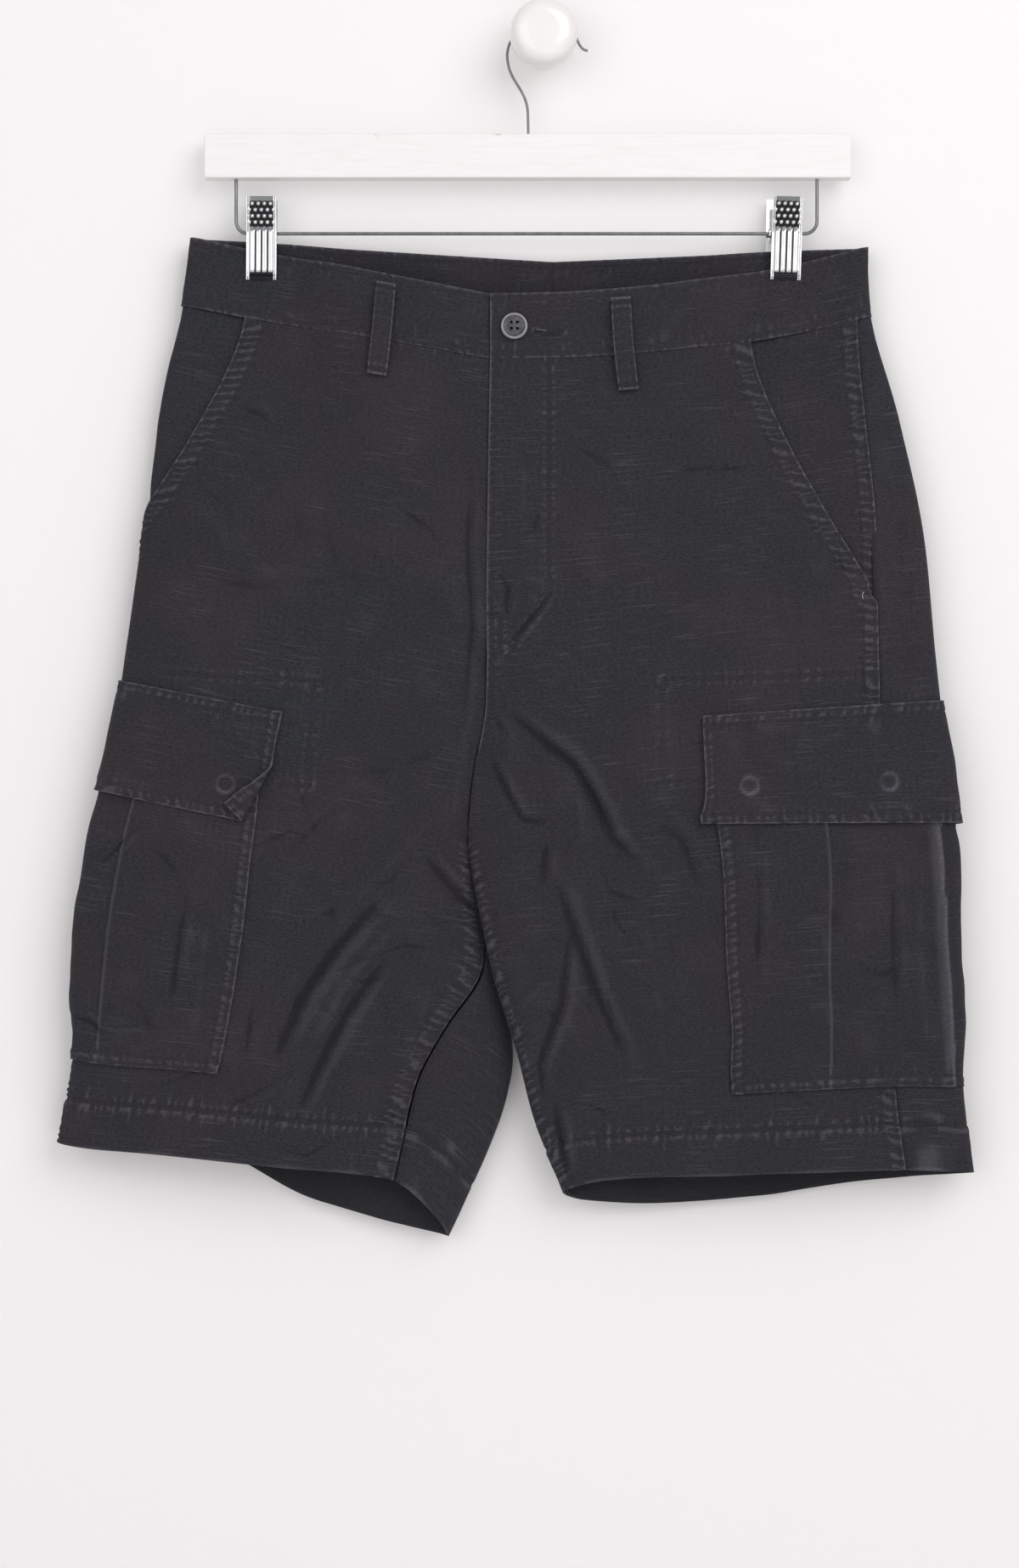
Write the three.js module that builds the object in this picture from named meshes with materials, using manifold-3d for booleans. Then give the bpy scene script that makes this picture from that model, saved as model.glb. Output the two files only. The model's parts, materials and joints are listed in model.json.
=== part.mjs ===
// Cargo shorts on a clip hanger, hung from a round wall knob.
// Units are millimetres and +Z is up. The wall is the plane y = 0, everything lies in front of it
// at negative y, and the front of the garment faces -Y. The origin is the middle of the knob's
// flat back. Right and left are the wearer's, so the right leg is on the left of the front view.

import * as THREE from 'three';
import { mergeVertices } from 'three/addons/utils/BufferGeometryUtils.js';
import Module from 'manifold-3d';

const wasm = await Module();
wasm.setup();

// Cloth and seams
const CLOTH = 1.4;
const BAND_CLOTH = 2.2;
const LINING_CLOTH = 1.0;
const SEAM_GAP = 0.3;
const LAYER_GAP = 0.5;

// Lengths down the cloth from the waist seam, which is 0
const BAND_TOP = -40;
const SLANT_END = 178;
const FLY_END = 180;
const FLAP_TOP = 247;
const POCKET_TOP = 290;
const CROTCH = 303;
const FLAP_BOTTOM = 320;
const POCKET_BOTTOM = 495;
const HEM_STITCH = 520;
const HEM = 550;

// Folds at the sides of a flattened leg: how far a fold's round end reaches in, as a share of the
// width, the share of the ring that it takes, and half its depth
const FOLD_REACH = 0.04;
const FOLD_SHARE = 0.062;
const FOLD_DEPTH = 6;
const CROWN_POWER = 2.2;
const CENTRE_DEPTH = -20;
const CROTCH_ROUND = 30;

// Where one change of form along the cloth begins and ends
const BAND_DIP_END = 200;
const HEM_RISE = { start: 330, end: 530 };
const CLOSING_START = { front: 140, back: 215 };
const CREASE = { calm: 0.03, full: 0.15, innerFull: 0.08, endRise: 0.35, seamCalm: 30 };

// Where the clips press the waistband flat
const CLIP_PLANE = -14;
const PRESSED = 2.7;
const CLIP_WIDTH = 19.4;
const CLIP_HEIGHT = 53;
const CLIP_SHEET = 1;
const PRESS_REACH = 45;
const PRESS_SPREAD = 0.25;
const PRESS_END = 110;

// Rows of the tables below follow the cloth down. The centre seams are shared by both sides.
const CENTRE_FRONT = [
  { fall: -40, x: -34, z: -165 },
  { fall: 0, x: -34, z: -206 },
  { fall: 66, x: -35, z: -273 },
  { fall: 138, x: -36, z: -345 },
  { fall: 220, x: -37, z: -429 },
  { fall: 264, x: -45, z: -473 },
  { fall: 303, x: -49, z: -512 },
];
const CENTRE_BACK = [
  { fall: -40, x: 6, z: -141 },
  { fall: 0, x: 6, z: -182 },
  { fall: 66, x: 4, z: -254 },
  { fall: 138, x: 0, z: -329 },
  { fall: 220, x: -9, z: -416 },
  { fall: 264, x: -24, z: -467 },
  { fall: 303, x: -49, z: -512 },
];

// How far the crowns of the front and the back stand from the wall
const CROWNS = [
  { fall: -40, front: -30, back: -5 },
  { fall: 0, front: -33, back: -5 },
  { fall: 66, front: -38, back: -4 },
  { fall: 138, front: -42, back: -4 },
  { fall: 220, front: -44, back: -5 },
  { fall: 303, front: -45, back: -7 },
  { fall: 400, front: -44, back: -8 },
  { fall: 500, front: -41, back: -8 },
  { fall: 550, front: -39, back: -8 },
];

// Each side has its outer fold, its inner fold below the crotch, the ring positions of its lines
// (0 is the centre front or inner fold, 1 the outer fold, 2 the centre back), the rise of the hem
// round the ring, the pressed place at the clip, and the largest creases of its front
const SIDES = {
  right: {
    turn: 1,
    clipX: -180.4,
    slantTop: 0.775,
    bandDip: 0,
    flyStep: 0,
    pocketBack: 1.24,
    outer: [
      { fall: -40, x: -226, z: -127, y: -15 },
      { fall: 0, x: -232, z: -170, y: -15 },
      { fall: 66, x: -246, z: -234, y: -17 },
      { fall: 138, x: -255, z: -304, y: -19 },
      { fall: 220, x: -266, z: -385, y: -21 },
      { fall: 303, x: -278, z: -465, y: -23 },
      { fall: 350, x: -288, z: -511, y: -24 },
      { fall: 400, x: -296, z: -560, y: -24 },
      { fall: 450, x: -299, z: -609, y: -24 },
      { fall: 500, x: -301, z: -657, y: -23 },
      { fall: 550, x: -310, z: -706, y: -22 },
    ],
    inner: [
      { fall: 303, x: -49, z: -512, y: -20 },
      { fall: 350, x: -38, z: -561, y: -12.5 },
      { fall: 400, x: -24, z: -613, y: -12 },
      { fall: 450, x: -20, z: -664, y: -12 },
      { fall: 500, x: -36, z: -715, y: -13 },
      { fall: 550, x: -61, z: -767, y: -16 },
    ],
    lines: [
      { fall: 0, inseam: 0, flap: 0.37, pocket: 0.4, pleat: 0.6, side: 1.17 },
      { fall: 178, inseam: 0, flap: 0.52, pocket: 0.55, pleat: 0.8, side: 1.1 },
      { fall: 247, inseam: 0, flap: 0.53, pocket: 0.56, pleat: 0.8, side: 1.08 },
      { fall: 303, inseam: 0, flap: 0.54, pocket: 0.57, pleat: 0.8, side: 1.06 },
      { fall: 380, inseam: 0.058, flap: 0.57, pocket: 0.6, pleat: 0.82, side: 1.04 },
      { fall: 445, inseam: 0.172, flap: 0.6, pocket: 0.63, pleat: 0.83, side: 1.04 },
      { fall: 490, inseam: 0.2, flap: 0.61, pocket: 0.64, pleat: 0.84, side: 1.03 },
      { fall: 550, inseam: 0.157, flap: 0.62, pocket: 0.65, pleat: 0.84, side: 1.02 },
    ],
    hemRise: [
      { ring: 0, rise: 0 },
      { ring: 0.13, rise: 27 },
      { ring: 0.22, rise: 29 },
      { ring: 0.4, rise: 22 },
      { ring: 0.56, rise: 16 },
      { ring: 0.7, rise: 11 },
      { ring: 1, rise: 0 },
      { ring: 1.2, rise: 12 },
      { ring: 1.42, rise: 17 },
      { ring: 1.62, rise: 3 },
      { ring: 1.8, rise: 0 },
      { ring: 2, rise: 0 },
    ],
    creases: [
      { fromX: -105, fromZ: -554, toX: -166, toZ: -647, rise: -3.5, reach: 12 },
      { fromX: -99, fromZ: -588, toX: -155, toZ: -685, rise: -3, reach: 11 },
      { fromX: -78, fromZ: -560, toX: -135, toZ: -665, rise: 2.5, reach: 14 },
      { fromX: -76, fromZ: -522, toX: -46, toZ: -556, rise: -2.5, reach: 9 },
      { fromX: -180, fromZ: -200, toX: -120, toZ: -290, rise: 2, reach: 16 },
    ],
  },
  left: {
    turn: -1,
    clipX: 156,
    slantTop: 0.667,
    bandDip: 8,
    flyStep: 1.2,
    pocketBack: 1.06,
    outer: [
      { fall: -40, x: 208, z: -133, y: -15 },
      { fall: 0, x: 210, z: -177, y: -15 },
      { fall: 66, x: 228, z: -243, y: -17 },
      { fall: 138, x: 243, z: -314, y: -19 },
      { fall: 220, x: 251, z: -396, y: -21 },
      { fall: 303, x: 260, z: -479, y: -23 },
      { fall: 350, x: 265, z: -526, y: -24 },
      { fall: 400, x: 265, z: -576, y: -24 },
      { fall: 450, x: 268, z: -626, y: -24 },
      { fall: 500, x: 269, z: -675, y: -23 },
      { fall: 550, x: 276, z: -725, y: -22 },
    ],
    inner: [
      { fall: 303, x: -49, z: -512, y: -20 },
      { fall: 350, x: -41, z: -555, y: -28 },
      { fall: 400, x: -31, z: -601, y: -29 },
      { fall: 450, x: -17, z: -646, y: -28 },
      { fall: 500, x: -5, z: -692, y: -26 },
      { fall: 550, x: 13, z: -737, y: -24 },
    ],
    lines: [
      { fall: 0, inseam: 0, flap: 0.32, pocket: 0.35, pleat: 0.5, side: 0.94 },
      { fall: 66, inseam: 0, flap: 0.38, pocket: 0.41, pleat: 0.58, side: 0.895 },
      { fall: 178, inseam: 0, flap: 0.46, pocket: 0.49, pleat: 0.69, side: 0.858 },
      { fall: 247, inseam: 0, flap: 0.47, pocket: 0.5, pleat: 0.71, side: 0.844 },
      { fall: 303, inseam: 0, flap: 0.48, pocket: 0.51, pleat: 0.72, side: 0.838 },
      { fall: 380, inseam: 0, flap: 0.47, pocket: 0.5, pleat: 0.71, side: 0.83 },
      { fall: 445, inseam: 0, flap: 0.45, pocket: 0.48, pleat: 0.69, side: 0.822 },
      { fall: 490, inseam: 0, flap: 0.43, pocket: 0.46, pleat: 0.68, side: 0.819 },
      { fall: 550, inseam: 0, flap: 0.42, pocket: 0.45, pleat: 0.67, side: 0.81 },
    ],
    hemRise: [
      { ring: 0, rise: 0 },
      { ring: 0.12, rise: 7 },
      { ring: 0.4, rise: 7 },
      { ring: 0.8, rise: 5 },
      { ring: 1, rise: 0 },
      { ring: 1.3, rise: -4 },
      { ring: 1.5, rise: -10 },
      { ring: 1.74, rise: -12 },
      { ring: 1.93, rise: -7 },
      { ring: 2, rise: 0 },
    ],
    creases: [
      { fromX: -18, fromZ: -434, toX: 43, toZ: -505, rise: -3.5, reach: 11 },
      { fromX: 22, fromZ: -465, toX: 59, toZ: -526, rise: -2.5, reach: 10 },
      { fromX: 10, fromZ: -542, toX: 50, toZ: -643, rise: -3, reach: 12 },
      { fromX: 16, fromZ: -576, toX: 0, toZ: -675, rise: -2.5, reach: 9 },
      { fromX: 64, fromZ: -560, toX: 82, toZ: -690, rise: 2.5, reach: 16 },
      { fromX: 156, fromZ: -205, toX: 105, toZ: -295, rise: 2, reach: 16 },
    ],
  },
};

// Hanger and knob
const WIRE_RADIUS = 1.1;
const WIRE_SIDES = 8;
const BAR = {
  left: -217, right: 197, bottom: -89.2, top: -61, back: -8, front: -20, corner: 3, bevel: 1.2,
};
const CLIP_WIRE = { left: -197, right: 175.7, z: -124, corner: 8, steps: 5 };
const HOOK = { centreX: 1.3, centreZ: -10.9, radius: 24.5, footX: -9.6, tipAngle: 10, steps: 14 };
// The hook's double bend, from the bar up to its arc
const HOOK_BEND = [
  { aside: 0, z: -50 },
  { aside: -0.6, z: -41 },
  { aside: -4, z: -33 },
  { aside: -9, z: -25.5 },
  { aside: -12.4, z: -18.5 },
];
// The knob's profile from the wall to its front: a foot, a neck and a round head
const KNOB_PROFILE = [
  { radius: 15, y: 0 },
  { radius: 15, y: -1.5 },
  { radius: 12.1, y: -5 },
  { radius: 12.1, y: -22 },
  { radius: 18.6, y: -23 },
  { radius: 21.6, y: -28 },
  { radius: 21.6, y: -37 },
  { radius: 19.2, y: -42.6 },
  { radius: 13.6, y: -45 },
];
const KNOB_SIDES = 32;

// Small helpers
const lerp = THREE.MathUtils.lerp;
const clamp = THREE.MathUtils.clamp;
const ease = (value, start, end) => THREE.MathUtils.smoothstep(value, start, end);

// The value of one column at a place along a table, on a smooth curve through its rows
function along(rows, key, column, place) {
  const last = rows.length - 1;
  const at = clamp(place, rows[0][key], rows[last][key]);
  let row = 0;
  while (row < last - 1 && rows[row + 1][key] < at) row += 1;
  const slope = (index) => {
    const before = rows[Math.max(index - 1, 0)];
    const after = rows[Math.min(index + 1, last)];
    return (after[column] - before[column]) / (after[key] - before[key]);
  };
  const span = rows[row + 1][key] - rows[row][key];
  const u = (at - rows[row][key]) / span;
  const u2 = u * u;
  const u3 = u2 * u;
  return (2 * u3 - 3 * u2 + 1) * rows[row][column]
    + (u3 - 2 * u2 + u) * span * slope(row)
    + (3 * u2 - 2 * u3) * rows[row + 1][column]
    + (u3 - u2) * span * slope(row + 1);
}

// How far the inner edge is rolled in: 0 along the centre seams, 1 at the crotch and below it
function rollIn(fall) {
  const u = clamp((fall - CROTCH + CROTCH_ROUND) / CROTCH_ROUND, 0, 1);
  return 1 - Math.sqrt(1 - u * u);
}

// The share of the width at a place between the inner edge, 0, and the outer fold, 1
function acrossWidth(place, rolled) {
  const q = FOLD_SHARE;
  const w = FOLD_REACH;
  const turned = (distance) => w * (1 - Math.cos((Math.PI / 2) * (distance / q)));
  if (place > 1 - q) return 1 - turned(1 - place);
  const open = place * (1 - w) / (1 - q);
  const closed = place < q ? turned(place) : w + (place - q) * (1 - 2 * w) / (1 - 2 * q);
  return lerp(open, closed, rolled);
}

// How round the folds leave the wall: 0 at a fold, 1 away from it
function foldRound(place, rolled) {
  const rise = (distance) => Math.sin((Math.PI / 2) * Math.min(distance / FOLD_SHARE, 1));
  return rise(1 - place) * (1 - rolled * (1 - rise(place)));
}

// How much a clip presses the two layers together
function pressed(side, x, fall) {
  const beside = Math.abs(x - side.clipX) - CLIP_WIDTH / 2;
  const reach = PRESS_REACH + PRESS_SPREAD * (fall - BAND_TOP);
  return (1 - ease(beside, 0, reach)) * (1 - ease(fall, 0, PRESS_END));
}

// A point of the smooth outer face, before creases
function bareCloth(side, ring, fall) {
  let turnedRing = ring;
  if (ring < 0) turnedRing = ring + 2;
  if (ring > 2) turnedRing = ring - 2;
  const isFront = turnedRing <= 1;
  const place = isFront ? turnedRing : 2 - turnedRing;
  const rolled = rollIn(fall);
  const across = acrossWidth(place, rolled);
  const centre = isFront ? CENTRE_FRONT : CENTRE_BACK;
  const innerRows = fall < CROTCH ? centre : side.inner;
  const innerX = along(innerRows, 'fall', 'x', fall);
  const innerZ = along(innerRows, 'fall', 'z', fall);
  const innerY = fall < CROTCH ? CENTRE_DEPTH : along(side.inner, 'fall', 'y', fall);
  const x = lerp(innerX, along(side.outer, 'fall', 'x', fall), across);
  let z = lerp(innerZ, along(side.outer, 'fall', 'z', fall), across);
  if (isFront) z -= side.bandDip * 4 * across * (1 - across) * (1 - ease(fall, 0, BAND_DIP_END));
  z += along(side.hemRise, 'ring', 'rise', turnedRing) * ease(fall, HEM_RISE.start, HEM_RISE.end);
  const middle = lerp(innerY, along(side.outer, 'fall', 'y', fall), across);
  const facing = isFront ? -1 : 1;
  const skin = middle + facing * FOLD_DEPTH * foldRound(place, rolled);
  const closing = ease(fall, isFront ? CLOSING_START.front : CLOSING_START.back, CROTCH);
  const openCrown = across ** CROWN_POWER;
  const closedCrown = Math.abs(2 * across - 1) ** CROWN_POWER;
  const crowned = 1 - lerp(openCrown, closedCrown, closing);
  const crown = along(CROWNS, 'fall', isFront ? 'front' : 'back', fall);
  const swollen = lerp(skin, crown, crowned);
  const y = lerp(swollen, CLIP_PLANE + facing * PRESSED, pressed(side, x, fall) * foldRound(place, 0));
  return new THREE.Vector3(x, y, z);
}

// The direction straight out of the cloth
const RING_STEP = 0.012;
const FALL_STEP = 5;
function outward(side, ring, fall) {
  const open = fall < CROTCH;
  const before = open ? Math.max(ring - RING_STEP, 0) : ring - RING_STEP;
  const after = open ? Math.min(ring + RING_STEP, 2) : ring + RING_STEP;
  const above = Math.max(fall - FALL_STEP, BAND_TOP);
  const below = Math.min(fall + FALL_STEP, HEM);
  const aroundCloth = bareCloth(side, after, fall).sub(bareCloth(side, before, fall));
  const downCloth = bareCloth(side, ring, below).sub(bareCloth(side, ring, above));
  return aroundCloth.cross(downCloth).multiplyScalar(side.turn).normalize();
}

// The height of the creases at a point of the front
function creaseHeight(side, point, ring, fall) {
  if (ring > 1) return 0;
  const innerCalm = rollIn(fall) * (1 - ease(ring, 0, CREASE.innerFull));
  const calm = ease(1 - ring, CREASE.calm, CREASE.full) * (1 - innerCalm);
  let height = 0;
  for (const crease of side.creases) {
    const runX = crease.toX - crease.fromX;
    const runZ = crease.toZ - crease.fromZ;
    const length2 = runX * runX + runZ * runZ;
    const share = ((point.x - crease.fromX) * runX + (point.z - crease.fromZ) * runZ) / length2;
    const nearest = clamp(share, 0, 1);
    const gapX = point.x - crease.fromX - nearest * runX;
    const gapZ = point.z - crease.fromZ - nearest * runZ;
    const taper = lerp(CREASE.endRise, 1, Math.sin(Math.PI * nearest));
    height += crease.rise * taper * Math.exp(-(gapX * gapX + gapZ * gapZ) / crease.reach ** 2);
  }
  return height * calm * ease(fall, 0, CREASE.seamCalm);
}

// A point of the cloth, moved out of the outer face by lift
function clothPoint(side, ring, fall, lift) {
  const point = bareCloth(side, ring, fall);
  const height = creaseHeight(side, point, ring, fall) + lift;
  return point.addScaledVector(outward(side, ring, fall), height);
}

// How far the ring runs over half a seam gap at a place
const GAP_STEP = 0.002;
function halfGap(side, ring, fall) {
  const first = bareCloth(side, clamp(ring - GAP_STEP, 0, 2), fall);
  const second = bareCloth(side, clamp(ring + GAP_STEP, 0, 2), fall);
  const span = Math.min(ring + GAP_STEP, 2) - Math.max(ring - GAP_STEP, 0);
  return (SEAM_GAP / 2) / (first.distanceTo(second) / span);
}

// A closed body from rows of points on two faces, outer and inner, with its rim closed.
// With loops true, the last column joins the first.
function wallGeometry(outerRows, innerRows, loops = false) {
  const rows = outerRows.length;
  const columns = outerRows[0].length;
  const positions = [];
  for (const face of [outerRows, innerRows]) {
    for (const row of face) for (const point of row) positions.push(point.x, point.y, point.z);
  }
  const inner = rows * columns;
  const index = (row, column, face) => face * inner + row * columns + (column % columns);
  const faces = [];
  const quad = (a, b, c, d) => faces.push(a, b, c, a, c, d);
  const lastColumn = loops ? columns : columns - 1;
  for (let row = 0; row < rows - 1; row += 1) {
    for (let column = 0; column < lastColumn; column += 1) {
      const next = column + 1;
      quad(index(row, column, 0), index(row + 1, column, 0), index(row + 1, next, 0), index(row, next, 0));
      quad(index(row, column, 1), index(row, next, 1), index(row + 1, next, 1), index(row + 1, column, 1));
    }
    if (!loops) {
      const end = columns - 1;
      quad(index(row, 0, 0), index(row, 0, 1), index(row + 1, 0, 1), index(row + 1, 0, 0));
      quad(index(row, end, 0), index(row + 1, end, 0), index(row + 1, end, 1), index(row, end, 1));
    }
  }
  const foot = rows - 1;
  for (let column = 0; column < lastColumn; column += 1) {
    const next = column + 1;
    quad(index(0, column, 0), index(0, next, 0), index(0, next, 1), index(0, column, 1));
    quad(index(foot, column, 0), index(foot, column, 1), index(foot, next, 1), index(foot, next, 0));
  }
  const geometry = new THREE.BufferGeometry();
  geometry.setAttribute('position', new THREE.Float32BufferAttribute(positions, 3));
  geometry.setIndex(faces);
  return facingOut(geometry);
}

// Merges shared corners, drops triangles of no area and turns an inside-out body round
function facingOut(source) {
  const bare = source.clone();
  for (const name of Object.keys(bare.attributes)) if (name !== 'position') bare.deleteAttribute(name);
  const geometry = mergeVertices(bare, 1e-4);
  const position = geometry.getAttribute('position');
  const corner = (n) => new THREE.Vector3().fromBufferAttribute(position, n);
  const kept = [];
  let volume = 0;
  const index = geometry.getIndex().array;
  for (let n = 0; n < index.length; n += 3) {
    const [a, b, c] = [index[n], index[n + 1], index[n + 2]];
    if (a === b || b === c || c === a) continue;
    kept.push(a, b, c);
    volume += corner(a).dot(corner(b).cross(corner(c)));
  }
  if (volume < 0) kept.reverse();
  geometry.setIndex(kept);
  geometry.computeVertexNormals();
  return geometry;
}

// manifold-3d joins pieces of sheet metal
function toManifold(geometry) {
  const closed = facingOut(geometry);
  return new wasm.Manifold(new wasm.Mesh({
    numProp: 3,
    vertProperties: new Float32Array(closed.getAttribute('position').array),
    triVerts: new Uint32Array(closed.getIndex().array),
  }));
}

function fromManifold(solid) {
  const mesh = solid.getMesh();
  const geometry = new THREE.BufferGeometry();
  geometry.setAttribute('position', new THREE.BufferAttribute(mesh.vertProperties, 3));
  geometry.setIndex(new THREE.BufferAttribute(mesh.triVerts, 1));
  return facingOut(geometry);
}

// Materials
const finish = (color, roughness, metalness) => () => (
  new THREE.MeshStandardMaterial({ color, roughness, metalness })
);
const CANVAS = finish(0x35353b, 0.92, 0);
const CANVAS_INSIDE = finish(0x2e2d32, 0.95, 0);
const BUTTON_HORN = finish(0x6a6668, 0.45, 0);
const WHITE_WOOD = finish(0xf2f0ee, 0.5, 0);
const STEEL = finish(0x8d8d8f, 0.3, 1);
const CHROME = finish(0xd8dadb, 0.12, 1);
const KNOB_GLOSS = finish(0xf7f6f5, 0.15, 0);

const shorts = new THREE.Group();
function add(name, geometry, material, parent = shorts) {
  const mesh = new THREE.Mesh(geometry, material());
  mesh.name = name;
  parent.add(mesh);
  return mesh;
}

// Rows of the lattice that every piece of cloth is made from, closer together at the crotch
const ROW_STOPS = [
  { fall: 0, rows: 3 },
  { fall: 66, rows: 5 },
  { fall: SLANT_END - 6, rows: 1 },
  { fall: SLANT_END, rows: 3 },
  { fall: FLAP_TOP, rows: 1 },
  { fall: 270, rows: 1 },
  { fall: POCKET_TOP, rows: 2 },
  { fall: CROTCH, rows: 1 },
  { fall: FLAP_BOTTOM, rows: 8 },
  { fall: POCKET_BOTTOM, rows: 1 },
  { fall: HEM_STITCH, rows: 2 },
  { fall: HEM, rows: 0 },
];
const FALLS = ROW_STOPS.slice(0, -1).flatMap((stop, n) => (
  Array.from({ length: stop.rows }, (_, k) => lerp(stop.fall, ROW_STOPS[n + 1].fall, k / stop.rows))
)).concat(HEM);

// Ring positions between stops, with a number of steps to each next stop
function ringStops(stops) {
  return stops.slice(0, -1).flatMap(([ring, steps], n) => (
    Array.from({ length: steps }, (_, k) => lerp(ring, stops[n + 1][0], k / steps))
  )).concat(stops[stops.length - 1][0]);
}

const line = (side, name, fall) => Math.max(along(side.lines, 'fall', name, fall), 0);
const SLANT_MARGIN = 0.02;
const SLANT_CURVE = 1.65;
function slantRing(side, fall) {
  const sideSeam = line(side, 'side', fall);
  const run = Math.max(fall / SLANT_END, 0) ** SLANT_CURVE;
  const slant = lerp(side.slantTop, line(side, 'side', SLANT_END), run);
  return Math.min(slant, sideSeam - SLANT_MARGIN);
}
const frontEdge = (side, fall) => (
  fall < SLANT_END ? slantRing(side, fall) : line(side, 'side', fall)
);

// Columns of the front and back at one row. The front's stops are its inner edge, the flap's and
// the pocket's front edges, the pleat, where the fold begins, and its outer edge.
const FRONT_STEPS = { turnIn: 2, flap: 7, pocket: 1, pleat: 2, turn: 2, edge: 4 };
const PLEAT_MARGIN = 0.04;
function frontColumns(side, fall) {
  const edge = frontEdge(side, fall);
  const pleat = Math.min(line(side, 'pleat', fall), edge - PLEAT_MARGIN);
  return ringStops([
    [line(side, 'inseam', fall), FRONT_STEPS.turnIn],
    [line(side, 'inseam', fall) + FOLD_SHARE, FRONT_STEPS.flap],
    [line(side, 'flap', fall), FRONT_STEPS.pocket],
    [line(side, 'pocket', fall), FRONT_STEPS.pleat],
    [pleat, FRONT_STEPS.turn],
    [lerp(pleat, edge, 0.5), FRONT_STEPS.edge],
    [edge],
  ]);
}
const FLAP_COLUMN = FRONT_STEPS.turnIn + FRONT_STEPS.flap;
const POCKET_COLUMN = FLAP_COLUMN + FRONT_STEPS.pocket;
const PLEAT_COLUMN = POCKET_COLUMN + FRONT_STEPS.pleat;

// Below the crotch the back may turn round the inner fold, so its last columns move to the fold.
const BACK_STEPS = { first: 3, second: 3, rest: 5, turn: 2, last: 3 };
const POCKET_BACK_MARGIN = 0.06;
function backColumns(side, fall) {
  const sideSeam = line(side, 'side', fall);
  const pocketBack = Math.max(side.pocketBack, sideSeam + POCKET_BACK_MARGIN);
  const inseam = line(side, 'inseam', fall);
  const turned = clamp(inseam / FOLD_SHARE, 0, 1);
  return ringStops([
    [sideSeam, BACK_STEPS.first],
    [lerp(sideSeam, pocketBack, 0.5), BACK_STEPS.second],
    [pocketBack, BACK_STEPS.rest],
    [2 - (2 - turned) * FOLD_SHARE, BACK_STEPS.turn],
    [2 - (1 - turned) * FOLD_SHARE, BACK_STEPS.last],
    [2 + inseam],
  ]);
}
const POCKET_BACK_COLUMN = BACK_STEPS.first + BACK_STEPS.second;

// The lap of the fly raises the edge of the wearer's left front
const FLY_LAP = { fullRing: 0.1, endRing: 0.2, fullFall: FLY_END - 25, endFall: FLY_END + 15 };
function flyLift(side, ring, fall) {
  if (ring > 1) return 0;
  const beside = 1 - ease(ring, FLY_LAP.fullRing, FLY_LAP.endRing);
  return side.flyStep * beside * (1 - ease(fall, FLY_LAP.fullFall, FLY_LAP.endFall));
}

// A sheet from rows of ring positions, between two lifts
function sheet(side, falls, columnsAt, outerLift, thickness, loops = false) {
  const face = (depth) => falls.map((fall) => columnsAt(fall).map((ring) => (
    clothPoint(side, ring, fall, outerLift(ring, fall) - depth)
  )));
  return wallGeometry(face(0), face(thickness), loops);
}

function insetEnds(side, fall, columns) {
  const last = columns.length - 1;
  return columns.map((ring, n) => {
    if (n === 0) return ring + halfGap(side, ring % 2, fall);
    if (n === last) return ring - halfGap(side, ring > 2 ? ring - 2 : ring, fall);
    return ring;
  });
}

const PANEL_FALLS = FALLS.map((fall) => (fall === 0 ? SEAM_GAP / 2 : fall));

function addFront(name, side) {
  const columns = (fall) => insetEnds(side, fall, frontColumns(side, fall));
  const lift = (ring, fall) => flyLift(side, ring, fall);
  add(name, sheet(side, PANEL_FALLS, columns, lift, CLOTH), CANVAS);
}

function addBack(name, side) {
  const columns = (fall) => insetEnds(side, fall, backColumns(side, fall));
  add(name, sheet(side, PANEL_FALLS, columns, () => 0, CLOTH), CANVAS);
}

// Two halves that are joined at the centre back, with more columns round the outer fold
const BAND_FALLS = [BAND_TOP, BAND_TOP / 2, -SEAM_GAP / 2];
const BAND_STEPS = { front: 12, fold: 4, back: 11 };
function addWaistband(name, side) {
  const stops = [
    [0, BAND_STEPS.front], [1 - FOLD_SHARE, BAND_STEPS.fold], [1 + FOLD_SHARE, BAND_STEPS.back], [2],
  ];
  const columns = (fall) => insetEnds(side, fall, ringStops(stops));
  const lift = (ring) => flyLift(side, ring, 0);
  add(name, sheet(side, BAND_FALLS, columns, lift, BAND_CLOTH), CANVAS);
}

// The facing lies behind the slanting mouth and meets the back panel at the side seam. It is sunk
// below the front's cloth at the mouth and comes level with it towards the seam.
const FACING = { under: 0.07, lip: 0.01, seam: 0.004, underSteps: 2, shownSteps: 5 };
const FACING_SUNK = { top: 1.6, foot: 3, from: 115, to: SLANT_END - 12 };
const FACING_LEVEL = { from: 120, to: SLANT_END - 20 };
function addPocketFacing(name, side) {
  const falls = PANEL_FALLS.filter((fall) => fall <= SLANT_END);
  const columns = (fall) => {
    const mouth = slantRing(side, fall);
    const under = Math.max(mouth - FACING.under, 0);
    const sideSeam = line(side, 'side', fall);
    const outerEnd = sideSeam - halfGap(side, sideSeam, fall);
    return ringStops([[under, FACING.underSteps], [mouth, FACING.shownSteps], [outerEnd]]);
  };
  const lift = (ring, fall) => {
    const gaps = lerp(FACING_SUNK.top, FACING_SUNK.foot, ease(fall, FACING_SUNK.from, FACING_SUNK.to));
    const mouth = slantRing(side, fall);
    const level = ease(ring, mouth + FACING.lip, line(side, 'side', fall) - FACING.seam);
    return -(CLOTH + LAYER_GAP * gaps) * (1 - level * (1 - ease(fall, FACING_LEVEL.from, FACING_LEVEL.to)));
  };
  add(name, sheet(side, falls, columns, lift, CLOTH), CANVAS_INSIDE);
}

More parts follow.
